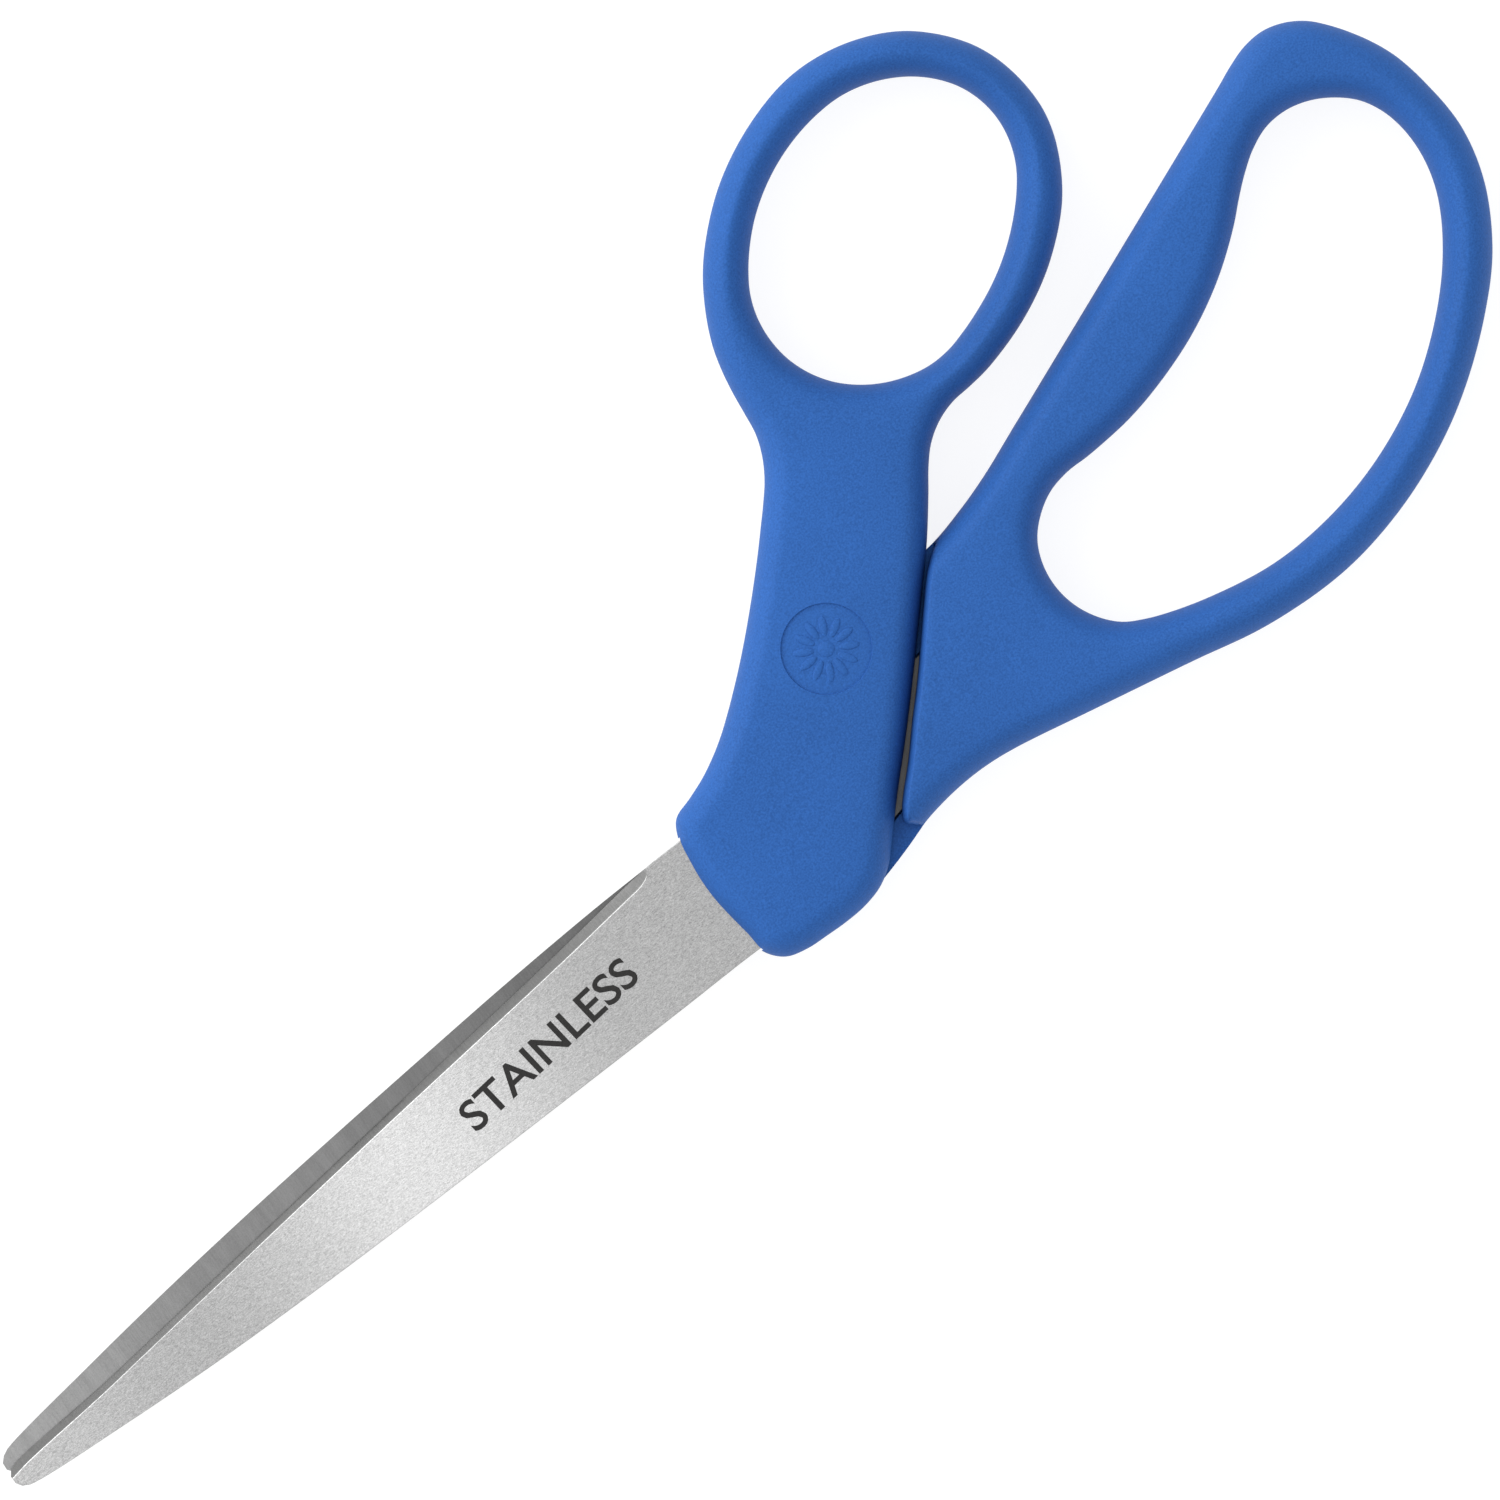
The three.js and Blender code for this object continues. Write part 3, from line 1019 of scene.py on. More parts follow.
@dataclass
class Studio:
    """Floor, soft light and the camera straight above, in metres where nothing else is said."""

    turn: float = 141.17  # from +X to the view's right, in degrees
    distance: float = 3.0
    margin: float = 1.0069  # the view's width over the object's
    sensor: float = 36.0  # in millimetres
    offset: tuple[float, float] = (0.24, 0.32)  # of the view's centre, in millimetres
    ambient: float = 0.92
    floor_size: float = 3.2
    floor_gap: float = 0.02  # between the object and the floor, in millimetres
    softboxes: tuple[Softbox, ...] = (
        Softbox("key_light", (-1.0, 0.4, 0.6), 1.5, 18.0),
        Softbox("top_light", (0.0, 0.0, 1.5), 1.0, 0.6),
        Softbox("blade_light", (-0.024, -0.05, 0.09), 0.03, 0.0022),
    )

    @property
    def right(self) -> Vector:
        """The view's right."""
        return Vector((math.cos(math.radians(self.turn)), math.sin(math.radians(self.turn)), 0))

    @property
    def up(self) -> Vector:
        """The view's up."""
        return Vector((0, 0, 1)).cross(self.right)

    def extents(self) -> tuple[np.ndarray, np.ndarray]:
        """The object's lowest and highest reach to the camera's right and up, in metres.

        Returns:
            The lowest pair and the highest pair.
        """
        axes = np.array([self.right, self.up])
        found = [node_triangles(name).reshape(-1, 3) @ axes.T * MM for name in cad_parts]
        points = np.vstack(found)
        return points.min(axis=0), points.max(axis=0)

    def add_camera(self) -> None:
        """Adds the camera, which frames the whole object from straight above."""
        low, high = self.extents()
        width = float((high - low)[0]) * self.margin
        across, along = (low + high) / 2 + np.array(self.offset) * MM
        level = (CAD_BOX[0].z + CAD_BOX[1].z) / 2
        data = bpy.data.cameras.new("camera")
        data.sensor_width = self.sensor
        data.lens = self.sensor * self.distance / width
        data.clip_end = 2 * self.distance
        camera = placed("camera", data)
        centre = self.right * float(across) + self.up * float(along)
        axes = Matrix([self.right, self.up, (0, 0, 1)]).transposed().to_4x4()
        camera.matrix_world = Matrix.Translation(centre + Vector((0, 0, level + self.distance))) @ axes
        bpy.context.scene.camera = camera

    def add_lights(self) -> None:
        """Adds the soft lights and the even light all round."""
        centre = (CAD_BOX[0] + CAD_BOX[1]) / 2
        for box in self.softboxes:
            data = bpy.data.lights.new(box.name, "AREA")
            data.size = box.size
            data.energy = box.power
            light = placed(box.name, data)
            light.visible_camera = False
            across, along, towards = box.place
            place = centre + self.right * across + self.up * along + Vector((0, 0, towards))
            light.location = place
            light.rotation_euler = (place - centre).to_track_quat("Z", "Y").to_euler()
        world = bpy.data.worlds.new("studio")
        world.use_nodes = True
        world.node_tree.nodes["Background"].inputs[0].default_value = (1, 1, 1, 1)
        world.node_tree.nodes["Background"].inputs[1].default_value = self.ambient
        bpy.context.scene.world = world
        bpy.context.scene.view_settings.view_transform = "Standard"

    def add_floor(self) -> None:
        """Adds the flat sheet that the scissors lie on, just under them."""
        half, level = self.floor_size / 2, CAD_BOX[0].z - self.floor_gap * MM
        mesh = bpy.data.meshes.new("floor")
        corners = [(-half, -half, level), (half, -half, level), (half, half, level), (-half, half, level)]
        mesh.from_pydata(corners, [], [(0, 1, 2, 3)])
        shown("floor", mesh, [PaleFloor().material()], sharp=30)

    def build(self) -> None:
        """Builds the studio."""
        self.add_camera()
        self.add_lights()
        self.add_floor()


# ---- Handles ------------------------------------------------------------------------------


@dataclass
class Medallion:
    """A shallow round recess in a handle's face, with a raised rosette."""

    centre: tuple[float, float] = (-15.4, -12.9)
    radius: float = 4.7
    depth: float = 0.22
    wall: float = 0.07

    def drop(self, points: np.ndarray) -> np.ndarray:
        """How far each point of the face is let in."""
        out = np.linalg.norm(points - self.centre, axis=1)
        return self.depth * np.clip((self.radius - out) / self.wall, 0, 1)


@dataclass(frozen=True)
class Bore:
    """A round room on the pivot axis, for a part of the rivet's stack."""

    radius: float
    bottom: float
    top: float

    def cutter(self) -> bpy.types.Object:
        """The solid that cuts it."""
        return prism([circle((0, 0), self.radius, 96)], self.bottom, self.top)


@dataclass
class Handle:
    """One moulded handle: a crowned bar with a finger opening, stepped where the halves cross."""

    name: str
    node: str
    body: Body
    stepped: Facing  # the face that is cut down to the deck
    deck: float
    medallion: Medallion | None = None
    edge_round: float = 2.6
    step_round: float = 0.7
    power: float = 2.15
    crown: float = 0.16
    crown_reach: float = 3.4
    spacing: float = 0.5
    fill: float = 0.9
    rows: int = 12
    sharp: float = 50.0
    side_levels: tuple[float, float] = (2.6, 7.8)  # in the CAD handle's straight side
    smallest_opening: float = 100.0  # by area, so that the pivot's bores are left out
    on_outline: float = 0.05  # how near a point counts as on the full outline
    grid_gap: float = 0.2  # between the grid and the rounded edges
    row_gap: float = 0.02  # between a row and the outline, at most
    ring_gap: float = 0.5  # between the grid and the medallion's rim
    ring_steps: int = 120
    bores: tuple[Bore, ...] = ()
    full: list[np.ndarray] = field(init=False)
    step: np.ndarray = field(init=False)
    removed: int = field(init=False)

    def outlines(self) -> None:
        """Reads the outlines of the two faces and of the step between them."""
        low, high = (section(self.node, level) for level in self.side_levels)
        full, cut_down = (low, high) if self.stepped is Facing.UP else (high, low)
        rough = [loop for loop in full if abs(area(loop)) > self.smallest_opening]
        self.full = [smooth_loop(loop, self.spacing) for loop in rough]
        partial = cut_down[0]
        away = Region(rough).edge_distance(partial) > self.on_outline
        first = int(np.flatnonzero(away & ~np.roll(away, 1))[0])
        partial = np.roll(partial, 1 - first, axis=0)
        away = np.roll(away, 1 - first)
        last = 1 + int(np.argmin(away[1:]))
        self.step = smooth_run(partial[: last + 1], self.spacing)
        outer = self.full[0]
        start, stop = (
            int(np.argmin(np.linalg.norm(outer - end, axis=1))) for end in self.step[[0, -1]]
        )
        outer[start], outer[stop] = self.step[0], self.step[-1]
        self.full[0] = np.roll(outer, -start, axis=0)
        self.removed = (stop - start) % len(outer)

    def profile(self, points: np.ndarray, face: Facing) -> np.ndarray:
        """The height of the crowned face over each point.

        Args:
            points: points in the outline.
            face: which face.

        Returns:
            The heights.
        """
        low, high = (corner.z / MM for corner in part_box(self.node))
        middle, half = (low + high) / 2, (high - low) / 2
        region = Region(self.full)
        rounding = np.clip(1 - region.edge_distance(points) / self.edge_round, 0, 1) ** self.power
        if face is self.stepped:
            off = run_distance(points, self.step[:-1], self.step[1:])
            rounding = rounding + np.clip(1 - off / self.step_round, 0, 1) ** self.power
        rise = np.maximum(1 - rounding, 0) ** (1 / self.power)
        bulge = 1 - self.crown * np.exp(-region.soft_depth(points) / self.crown_reach)
        surface = middle + face.value * half * bulge
        heights = self.deck + (surface - self.deck) * rise
        if self.medallion and face is Facing.UP:
            heights = heights - self.medallion.drop(points)
        return heights

    def face_lines(self, region: Region, face: Facing) -> Lines:
        """The rows of points that follow the rounded edges, and a grid between them.

        Args:
            region: the face's region.
            face: which face.

        Returns:
            The points and creases.
        """
        lines = Lines()
        angles = np.arange(1, self.rows + 1) / self.rows * math.pi / 2
        insets = 1 - np.maximum(np.cos(angles), 0) ** (2 / self.power)
        runs = [(loop, True, self.edge_round) for loop in self.full]
        if face is self.stepped:
            runs.append((self.step, False, self.step_round))
        for run, closed, rounding in runs:
            normals = left_normals(run, closed)
            starts, ends = run[: None if closed else -1], np.roll(run, -1, axis=0)
            ends = ends if closed else ends[:-1]
            for inset in insets * rounding:
                moved = run + normals * inset
                kept = (
                    region.contains(moved)
                    & (run_distance(moved, starts, ends) > 0.97 * inset)
                    & (region.edge_distance(moved) > min(self.row_gap, 0.6 * inset))
                )
                lines.add_run(moved, kept, closed)
        low, high = region.starts.min(axis=0), region.starts.max(axis=0)
        xs, ys = (np.arange(a, b, self.fill) for a, b in zip(low, high))
        grid = np.stack(np.meshgrid(xs, ys), axis=-1).reshape(-1, 2)
        grid = grid[region.contains(grid)]
        clear = Region(self.full).edge_distance(grid) > self.edge_round + self.grid_gap
        if face is self.stepped:
            off = run_distance(grid, self.step[:-1], self.step[1:])
            clear &= off > self.step_round + self.grid_gap
        if self.medallion and face is Facing.UP:
            out = np.linalg.norm(grid - self.medallion.centre, axis=1)
            clear &= np.abs(out - self.medallion.radius) > self.ring_gap
            wall = self.medallion.wall
            for inset in (-0.25, -self.row_gap, 0, wall, wall + self.row_gap, 0.4):
                ring = circle(self.medallion.centre, self.medallion.radius - inset, self.ring_steps)
                lines.add_run(ring, np.ones(len(ring), bool), True)
        lines.add_points(grid[clear])
        return lines

    def build(self, finish: bpy.types.Material) -> bpy.types.Object:
        """Builds the handle, without the rooms inside it.

        Args:
            finish: its material.

        Returns:
            The handle.
        """
        self.outlines()
        outer, openings = self.full[0], self.full[1:]
        step_inner = self.step[1:-1]
        edge = np.vstack([*self.full, step_inner])
        solid = Solid()
        numbers = solid.add_vertices(np.column_stack([edge, np.full(len(edge), self.deck)]))
        outer_numbers = numbers[: len(outer)]
        opening_numbers = numbers[len(outer) : len(edge) - len(step_inner)]
        step_numbers = numbers[len(edge) - len(step_inner) :]
        whole = Region(self.full)
        full_face = Facing(-self.stepped.value)
        solid.add_sheet(
            whole,
            self.face_lines(whole, full_face),
            np.concatenate([outer_numbers, opening_numbers]),
            lambda points: self.profile(points, full_face),
            full_face,
        )
        kept = np.concatenate([outer_numbers[self.removed :], outer_numbers[:1], step_numbers])
        part = Region([edge[kept], *openings])
        solid.add_sheet(
            part,
            self.face_lines(part, self.stepped),
            np.concatenate([kept, opening_numbers]),
            lambda points: self.profile(points, self.stepped),
            self.stepped,
        )
        rim = np.concatenate([outer_numbers[: self.removed + 1], step_numbers[::-1]])
        floor = Region([edge[rim]])
        solid.add_sheet(
            floor, Lines(), rim, lambda points: np.full(len(points), self.deck), self.stepped
        )
        return solid.build(self.name, [finish], self.sharp)

    def hollow(self, piece: bpy.types.Object, tang_room: bpy.types.Object) -> None:
        """Cuts the rooms for the blade's tang and for the pivot.

        Args:
            piece: the handle.
            tang_room: the tang's room.
        """
        cut(piece, [tang_room, *(bore.cutter() for bore in self.bores)])
        piece.data.set_sharp_from_angle(angle=math.radians(self.sharp))


# ---- Blades -------------------------------------------------------------------------------


@dataclass
class Blade:
    """One stamped blade with its tang, ground on the outer side of its cutting edge."""

    name: str
    node: str
    body: Body
    outer: Facing
    edge_side: int  # +1 where the cutting edge looks to +Y
    edge_from: float  # how far out in that direction the cutting edge starts
    spacing: float = 1.2
    chamfer: float = 0.1
    land: float = 0.12
    hollow: float = 0.03
    ridge: float = 0.09  # share of the bevel's width over which its ridge is rounded
    heel: float = 13.0  # where the ground edge starts
    heel_round: float = 2.2
    tip_round: float = 1.2
    read_share: float = 0.04  # how far up its thickness the outline is read
    row_gap: float = 0.03  # between a row and the outline
    pivot_reach: float = 8.0  # a hole nearer the pivot than this is its bore
    sharp: float = 30.0
    bevel_widths: tuple[tuple[float, float], ...] = (
        (15.0, 1.1),
        (30.0, 0.98),
        (50.0, 0.78),
        (85.0, 0.66),
        (102.0, 0.9),
    )
    loops: list[np.ndarray] = field(init=False)
    edge: np.ndarray = field(init=False)

    def levels(self) -> tuple[float, float]:
        """The levels of the inner and the outer face."""
        low, high = (corner.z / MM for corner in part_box(self.node))
        return (low, high) if self.outer is Facing.UP else (high, low)

    def outlines(self) -> None:
        """Reads the blade's outline and finds its cutting edge."""
        inner, outer = self.levels()
        level = inner + self.read_share * (outer - inner)
        self.loops = [smooth_loop(loop, self.spacing, 30) for loop in section(self.node, level)]
        outline = self.loops[0]
        tip = outline[:, 0].max()
        on_edge = outline[:, 0] > self.heel - 1e-6
        on_edge &= outline[:, 0] < tip - self.tip_round
        on_edge &= outline[:, 1] * self.edge_side > self.edge_from
        run = outline[on_edge]
        self.edge = run[np.argsort(run[:, 0])]
        last = self.edge[-1] + (self.edge[-1] - self.edge[-2]) * 4
        self.edge = np.vstack([self.edge, last])

    def bevel_share(self, points: np.ndarray) -> np.ndarray:
        """How far each point is across the ground bevel: 0 at the edge, from 1 on the face."""
        off = run_distance(points, self.edge[:-1], self.edge[1:])
        return off / np.maximum(self.bevel_width(points[:, 0]), 1e-6)

    def bevel_width(self, along: np.ndarray) -> np.ndarray:
        """The bevel's width at distances along the blade, with its rounded start.

        Args:
            along: the distances from the pivot.

        Returns:
            One width for each distance.
        """
        places, widths = zip(*self.bevel_widths)
        start = np.clip((self.heel + self.heel_round - along) / self.heel_round, 0, 1)
        return np.interp(along, places, widths) * np.sqrt(1 - start**2)

    def surface(self, points: np.ndarray) -> np.ndarray:
        """The height of the outer side over each point.

        Args:
            points: points in the outline.

        Returns:
            The heights.
        """
        inner, outer = self.levels()
        thickness = abs(outer - inner)
        share = np.clip(self.bevel_share(points), 0, 1 + self.ridge)
        share = np.where(points[:, 0] < self.heel, 1 + self.ridge, share)
        blend = np.clip(0.5 + (1 - share) / self.ridge / 2, 0, 1)
        share = 1 - blend + share * blend - self.ridge * blend * (1 - blend)
        ground = self.land + (thickness - self.land) * share
        ground = ground - self.hollow * 4 * share * (1 - share)
        rim = thickness - self.chamfer + Region(self.loops).edge_distance(points)
        return inner + self.outer.value * np.minimum(np.minimum(ground, rim), thickness)

    def face_lines(self, region: Region) -> Lines:
        """The ridge, the rows across the bevel and the chamfer's inner edge.

        Args:
            region: the blade's face.

        Returns:
            The creases.
        """
        lines = Lines()
        fine = smooth_run(self.edge, 0.5)
        normals = left_normals(fine, False) * -self.edge_side
        rounded = [1 + self.ridge * place for place in (-1.4, -1, -0.5, 0, 0.5, 1, 1.4)]
        for share in (0.25, 0.5, 0.72, *rounded):
            row = fine + normals * (self.bevel_width(fine[:, 0]) * share)[:, None]
            kept = region.contains(row) & (region.edge_distance(row) > self.row_gap)
            lines.add_run(row, kept, False)
        for loop in self.loops:
            rim = loop + left_normals(loop, True) * self.chamfer
            kept = region.contains(rim) & (region.edge_distance(rim) > 0.9 * self.chamfer)
            kept &= (self.bevel_share(rim) > 1.02 + self.ridge) | (rim[:, 0] < self.heel - 0.3)
            lines.add_run(rim, kept, True)
        return lines

    def finish_of(self, points: np.ndarray) -> np.ndarray:
        """0 on the outer face and 1 on the ground bevel."""
        ground = (self.bevel_share(points) < 1) & (points[:, 0] > self.heel)
        return ground.astype(int)

    def build(self, finishes: list[bpy.types.Material]) -> bpy.types.Object:
        """Builds the blade.

        Args:
            finishes: the materials of the outer face, the bevel and the inner face.

        Returns:
            The blade.
        """
        self.outlines()
        region = Region(self.loops)
        inner, _ = self.levels()
        edge = region.starts
        solid = Solid()
        inner_numbers = solid.add_vertices(np.column_stack([edge, np.full(len(edge), inner)]))
        outer_numbers = solid.add_vertices(np.column_stack([edge, self.surface(edge)]))
        solid.add_sheet(
            region,
            Lines(),
            inner_numbers,
            lambda points: np.full(len(points), inner),
            Facing(-self.outer.value),
            2,
        )
        solid.add_sheet(
            region, self.face_lines(region), outer_numbers, self.surface, self.outer, self.finish_of
        )
        pair = (inner_numbers, outer_numbers)
        low, high = pair if self.outer is Facing.UP else pair[::-1]
        solid.add_wall(low, high, [len(loop) for loop in self.loops], 0)
        return solid.build(self.name, finishes, self.sharp)

    def tang_room(self, clearance: float, overshoot: float) -> bpy.types.Object:
        """The room that the blade takes in its handle, leaving keys through its lock holes.

        Args:
            clearance: the gap round the steel.
            overshoot: how far the room runs out past the inner face.

        Returns:
            The cutter.
        """
        grown = [
            loop - left_normals(loop, True) * clearance
            for loop in self.loops
            if np.linalg.norm(loop.mean(axis=0)) > self.pivot_reach
        ]
        inner, outer = self.levels()
        out = self.outer.value
        ends = sorted((inner - out * overshoot, outer + out * overshoot))
        return prism(grown, *ends)


# ---- Pivot --------------------------------------------------------------------------------


@dataclass
class Pivot:
    """The rivet, its washers and the bushing, all turned about the pivot axis."""

    head_edge: float = 0.22
    head_height: float = 1.0
    shoulder: float = 3.2
    shank: float = 2.4
    peened_radius: float = 3.8
    peened_height: float = 0.8
    running: float = 0.05
    washer_bore: float = 2.6
    spring_thickness: float = 0.3
    edge: float = 0.08

    def spans(self, node: str) -> tuple[float, float, float]:
        """A node's lowest and highest level and its radius."""
        low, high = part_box(node)
        return low.z / MM, high.z / MM, high.x / MM

    def rivet(self, finish: bpy.types.Material) -> bpy.types.Object:
        """The rivet, with a domed head at the back and a peened end in the thumb handle.

        Args:
            finish: its material.

        Returns:
            The rivet.
        """
        bottom, top, head = self.spans("pivot_rivet")
        back_face = self.spans("back_blade")[0]
        under_peen = top - self.peened_height
        shares = (0, 0.3, 0.55, 0.75, 0.88, 0.95)
        dome = [(head * share, bottom + self.head_edge * share**3) for share in shares]
        profile = [
            *dome,
            (head, bottom + 1.8 * self.head_edge),
            (head, bottom + self.head_height),
            (self.shoulder, bottom + self.head_height),
            (self.shoulder, back_face),
            (self.shank, back_face),
            (self.shank, under_peen),
            (self.peened_radius - 0.1, under_peen),
            (self.peened_radius, under_peen + 0.15),
            (self.peened_radius - 0.15, under_peen + 0.45),
            (self.peened_radius - 0.6, top - 0.12),
            (self.peened_radius - 1.5, top),
            (0, top),
        ]
        return turned("pivot_rivet_turned", profile, [finish])

    def ring(
        self, name: str, node: str, bore: float, finish: bpy.types.Material
    ) -> bpy.types.Object:
        """A flat ring with eased edges.

        Args:
            name: the object's name.
            node: the CAD node that it stands for.
            bore: its inner radius.
            finish: its material.

        Returns:
            The ring.
        """
        bottom, top, radius = self.spans(node)
        ease = self.edge
        profile = [
            (bore + ease, bottom),
            (radius - ease, bottom),
            (radius - 0.3 * ease, bottom + 0.3 * ease),
            (radius, bottom + ease),
            (radius, top - ease),
            (radius - 0.3 * ease, top - 0.3 * ease),
            (radius - ease, top),
            (bore + ease, top),
            (bore, top - ease),
            (bore, bottom + ease),
        ]
        return turned(name, profile, [finish])

    def spring(self, finish: bpy.types.Material) -> bpy.types.Object:
        """The dished spring washer, wide side down on the front blade.

        Args:
            finish: its material.

        Returns:
            The washer.
        """
        bottom, top, radius = self.spans("spring_washer")
        rise = top - bottom - self.spring_thickness
        bore = self.washer_bore
        shares = np.linspace(0, 1, 7)
        under = [(bore + (radius - bore) * s, bottom + rise * (1 - s**1.5)) for s in shares]
        over = [(r, z + self.spring_thickness) for r, z in reversed(under)]
        return turned("spring_washer_pressed", under + over, [finish])

    def build(self) -> None:
        """Builds and mounts every part of the pivot."""
        steel, nylon = RIVET_STEEL.material(), NYLON.material()
        shank_bore = self.shank + self.running
        parts = (
            (self.rivet(steel), "pivot_rivet", Body.FINGER, "rivet_steel"),
            (self.spring(steel), "spring_washer", Body.FINGER, "rivet_steel"),
            (
                self.ring("bearing_washer_eased", "bearing_washer", self.washer_bore, nylon),
                "bearing_washer",
                Body.FINGER,
                "nylon",
            ),
            (
                self.ring("pivot_bushing_eased", "pivot_bushing", shank_bore, nylon),
                "pivot_bushing",
                Body.THUMB,
                "nylon",
            ),
        )
        for piece, node, body, slot in parts:
            mount(piece, body, node)


# ---- Marks --------------------------------------------------------------------------------


@dataclass
class Rosette:
    """The raised ring of petals in the handle's medallion."""

    petals: int = 12
    petal_length: float = 2.2
    petal_width: float = 0.85
    petal_height: float = 0.15
    petal_middle: float = 2.35
    boss_radius: float = 0.85

    def tree(self, finish: bpy.types.Material) -> bpy.types.NodeTree:
        """Builds the Geometry Nodes that lay the rosette out round the origin.

        Args:
            finish: the material that they set.

        Returns:
            The node group.
        """
        tree = bpy.data.node_groups.new("rosette", "GeometryNodeTree")
        face = tree.interface
        face.new_socket("Geometry", in_out="OUTPUT", socket_type="NodeSocketGeometry")
        face.new_socket("Petals", in_out="INPUT", socket_type="NodeSocketInt")
        for name in ("Petal Middle", "Boss Radius", "Height"):
            face.new_socket(name, in_out="INPUT", socket_type="NodeSocketFloat")
        face.new_socket("Petal Size", in_out="INPUT", socket_type="NodeSocketVector")
        build = NodeTree(tree)
        given = tree.nodes.new("NodeGroupInput").outputs
        spots = build.node("GeometryNodeMeshCircle", Vertices=given["Petals"], Radius=given["Petal Middle"])
        ball = build.node("GeometryNodeMeshIcoSphere", Radius=1.0, Subdivisions=3)
        petal = build.node(
            "GeometryNodeTransform", Geometry=ball.outputs["Mesh"], Scale=given["Petal Size"]
        )
        step = tree.nodes.new("ShaderNodeMath")
        step.operation = "DIVIDE"
        step.inputs[0].default_value = 2 * math.pi
        tree.links.new(given["Petals"], step.inputs[1])
        angle = tree.nodes.new("ShaderNodeMath")
        angle.operation = "MULTIPLY"
        tree.links.new(tree.nodes.new("GeometryNodeInputIndex").outputs[0], angle.inputs[0])
        tree.links.new(step.outputs[0], angle.inputs[1])
        turn = build.node("ShaderNodeCombineXYZ", Z=angle.outputs[0])
        rotation = build.node("FunctionNodeEulerToRotation", Euler=turn.outputs[0])
        petals = build.node(
            "GeometryNodeInstanceOnPoints",
            Points=spots.outputs[0],
            Instance=petal.outputs[0],
            Rotation=rotation.outputs[0],
        )
        across = given["Boss Radius"]
        flat = build.node("ShaderNodeCombineXYZ", X=across, Y=across, Z=given["Height"])
        boss = build.node("GeometryNodeTransform", Geometry=ball.outputs["Mesh"], Scale=flat.outputs[0])
        joined = tree.nodes.new("GeometryNodeJoinGeometry")
        for part in (petals, boss):
            tree.links.new(part.outputs[0], joined.inputs[0])
        whole = build.node("GeometryNodeRealizeInstances", Geometry=joined.outputs[0])
        dressed = build.node("GeometryNodeSetMaterial", Geometry=whole.outputs[0], Material=finish)
        out = tree.nodes.new("NodeGroupOutput")
        tree.links.new(dressed.outputs[0], out.inputs[0])
        return tree

    def build(self, handle: Handle, finish: bpy.types.Material) -> bpy.types.Object:
        """Builds the rosette on the floor of a handle's medallion.

        Args:
            handle: the handle.
            finish: the handle's material.

        Returns:
            The rosette.
        """
        tree = self.tree(finish)
        host = placed("rosette_host", bpy.data.meshes.new("rosette_host"))
        modifier = host.modifiers.new("rosette", "NODES")
        modifier.node_group = tree
        values = {
            "Petals": self.petals,
            "Petal Middle": self.petal_middle * MM,
            "Boss Radius": self.boss_radius * MM,
            "Height": self.petal_height * MM,
            "Petal Size": (
                self.petal_length / 2 * MM,
                self.petal_width / 2 * MM,
                self.petal_height * MM,
            ),
        }
        for socket in tree.interface.items_tree:
            if socket.in_out == "INPUT":
                modifier[socket.identifier] = values[socket.name]
        mesh = evaluated_mesh(host)
        bpy.data.objects.remove(host)
        points = vertex_points(mesh) / MM
        points[:, :2] += handle.medallion.centre
        points[:, 2] += handle.profile(points[:, :2].astype(float), Facing.UP)
        mesh.vertices.foreach_set("co", (points * MM).ravel())
        return shown("medallion_rosette", mesh, [finish], sharp=40)


@dataclass
class SteelMark:
    """A generic word for the steel, etched in the outer face of a blade."""

    words: str = "STAINLESS"
    length: float = 23.0
    cap_height: float = 3.3
    middle: tuple[float, float] = (32.0, 0.75)
    proud: float = 0.006  # how far it stands out of the face

    def build(self, blade: Blade, finish: bpy.types.Material) -> bpy.types.Object:
        """Builds the mark as a very thin layer, in line with the blade's cutting edge.

        Args:
            blade: the blade.
            finish: its material.

        Returns:
            The mark.
        """
        text = bpy.data.curves.new("steel_mark", "FONT")
        text.body = self.words
        text.resolution_u = 4
        text.extrude = 0.5
        text.offset = 0.012
        text.space_character = 1.0
        source = placed("steel_mark_source", text)
        mesh = evaluated_mesh(source)
        bpy.data.objects.remove(source)
        weld(mesh)
        points = vertex_points(mesh).astype(float)
        low, high = points.min(axis=0), points.max(axis=0)
        size = np.array([self.length, self.cap_height, 2 * self.proud])
        points = (points - (low + high) / 2) / (high - low) * size
        run = blade.edge[-2] - blade.edge[0]
        angle = math.atan2(run[1], run[0]) + math.pi
        turn = np.array([[math.cos(angle), -math.sin(angle)], [math.sin(angle), math.cos(angle)]])
        points[:, :2] = points[:, :2] @ turn.T + self.middle
        points[:, 2] += blade.levels()[1]
        mesh.vertices.foreach_set("co", (points * MM).astype(np.float32).ravel())
        return shown("steel_mark", mesh, [finish], sharp=30)


# ---- Build --------------------------------------------------------------------------------


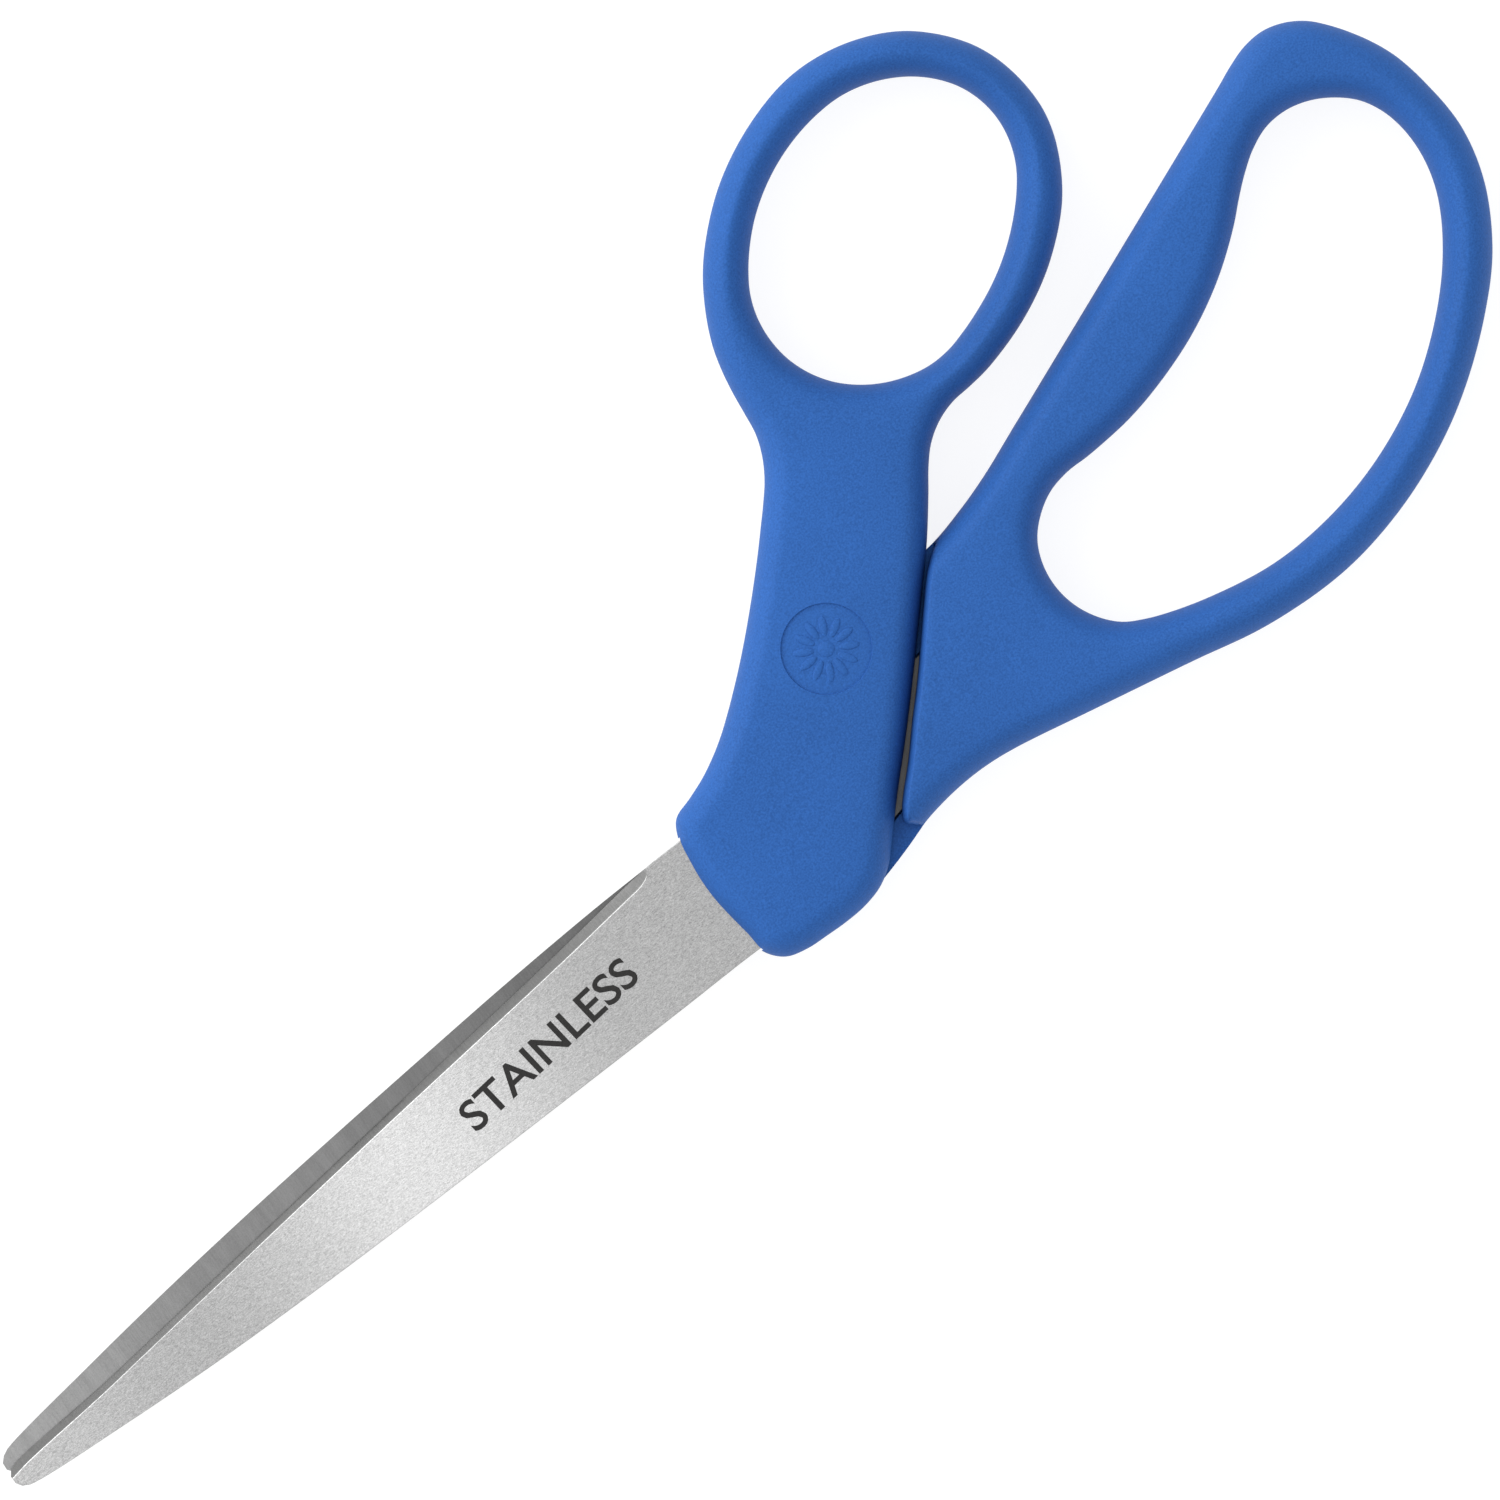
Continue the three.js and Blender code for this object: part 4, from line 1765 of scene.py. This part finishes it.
def mount(piece: bpy.types.Object, body: Body, node: str | None = None) -> None:
    """Fixes a finished piece to its body.

    Args:
        piece: the piece.
        body: the half that it moves with.
        node: the CAD node that it stands for, if any.
    """
    check_closed(piece)
    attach(piece, body.value)
    if node:
        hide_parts(node)


def check_closed(piece: bpy.types.Object) -> None:
    """Logs a piece's size. A closed mesh has no open edges, and one that faces out has a volume.

    Args:
        piece: the piece.
    """
    corners = triangle_corners(piece.data)
    a, b, c = vertex_points(piece.data)[corners].astype(float).transpose(1, 0, 2) / MM
    volume = float(np.sum(a * np.cross(b, c)) / 6)
    sides = np.vstack([corners[:, [0, 1]], corners[:, [1, 2]], corners[:, [2, 0]]])
    uses = np.unique(np.sort(sides, axis=1), axis=0, return_counts=True)[1]
    open_edges = int((uses != 2).sum())
    log.info("%s: %d triangles, %.1f mm3, open edges %d", piece.name, len(corners), volume, open_edges)


def main() -> None:
    """Builds every piece in order."""
    logging.basicConfig(level=logging.INFO, format="%(name)s: %(message)s")
    Studio().build()
    plastic = BLUE_PLASTIC.material()
    steel = [finish.material() for finish in (SATIN_FACE, GROUND_BEVEL, INNER_FACE)]
    front = Blade(
        "front_blade_ground", "front_blade", Body.THUMB, Facing.UP, edge_side=-1, edge_from=0.0
    )
    back = Blade(
        "back_blade_ground", "back_blade", Body.FINGER, Facing.DOWN, edge_side=1, edge_from=0.8
    )
    thumb = Handle(
        "thumb_handle_moulding",
        "thumb_handle",
        Body.THUMB,
        stepped=Facing.DOWN,
        deck=5.35,
        medallion=Medallion(),
        bores=(Bore(4.7, 5.33, 8.55),),
    )
    finger = Handle(
        "finger_handle_moulding",
        "finger_handle",
        Body.FINGER,
        stepped=Facing.UP,
        deck=5.05,
        bores=(Bore(4.85, -1.0, 1.0), Bore(3.45, -1.0, 5.07)),
    )
    for handle, blade in ((thumb, front), (finger, back)):
        mount(blade.build(steel), blade.body, blade.node)
        moulding = handle.build(plastic)
        handle.hollow(moulding, blade.tang_room(clearance=0.25, overshoot=0.02))
        mount(moulding, handle.body, handle.node)
    mount(Rosette().build(thumb, plastic), Body.THUMB)
    mount(SteelMark().build(front, EtchedInk().material()), Body.THUMB)
    Pivot().build()


if __name__ == "__main__":
    main()
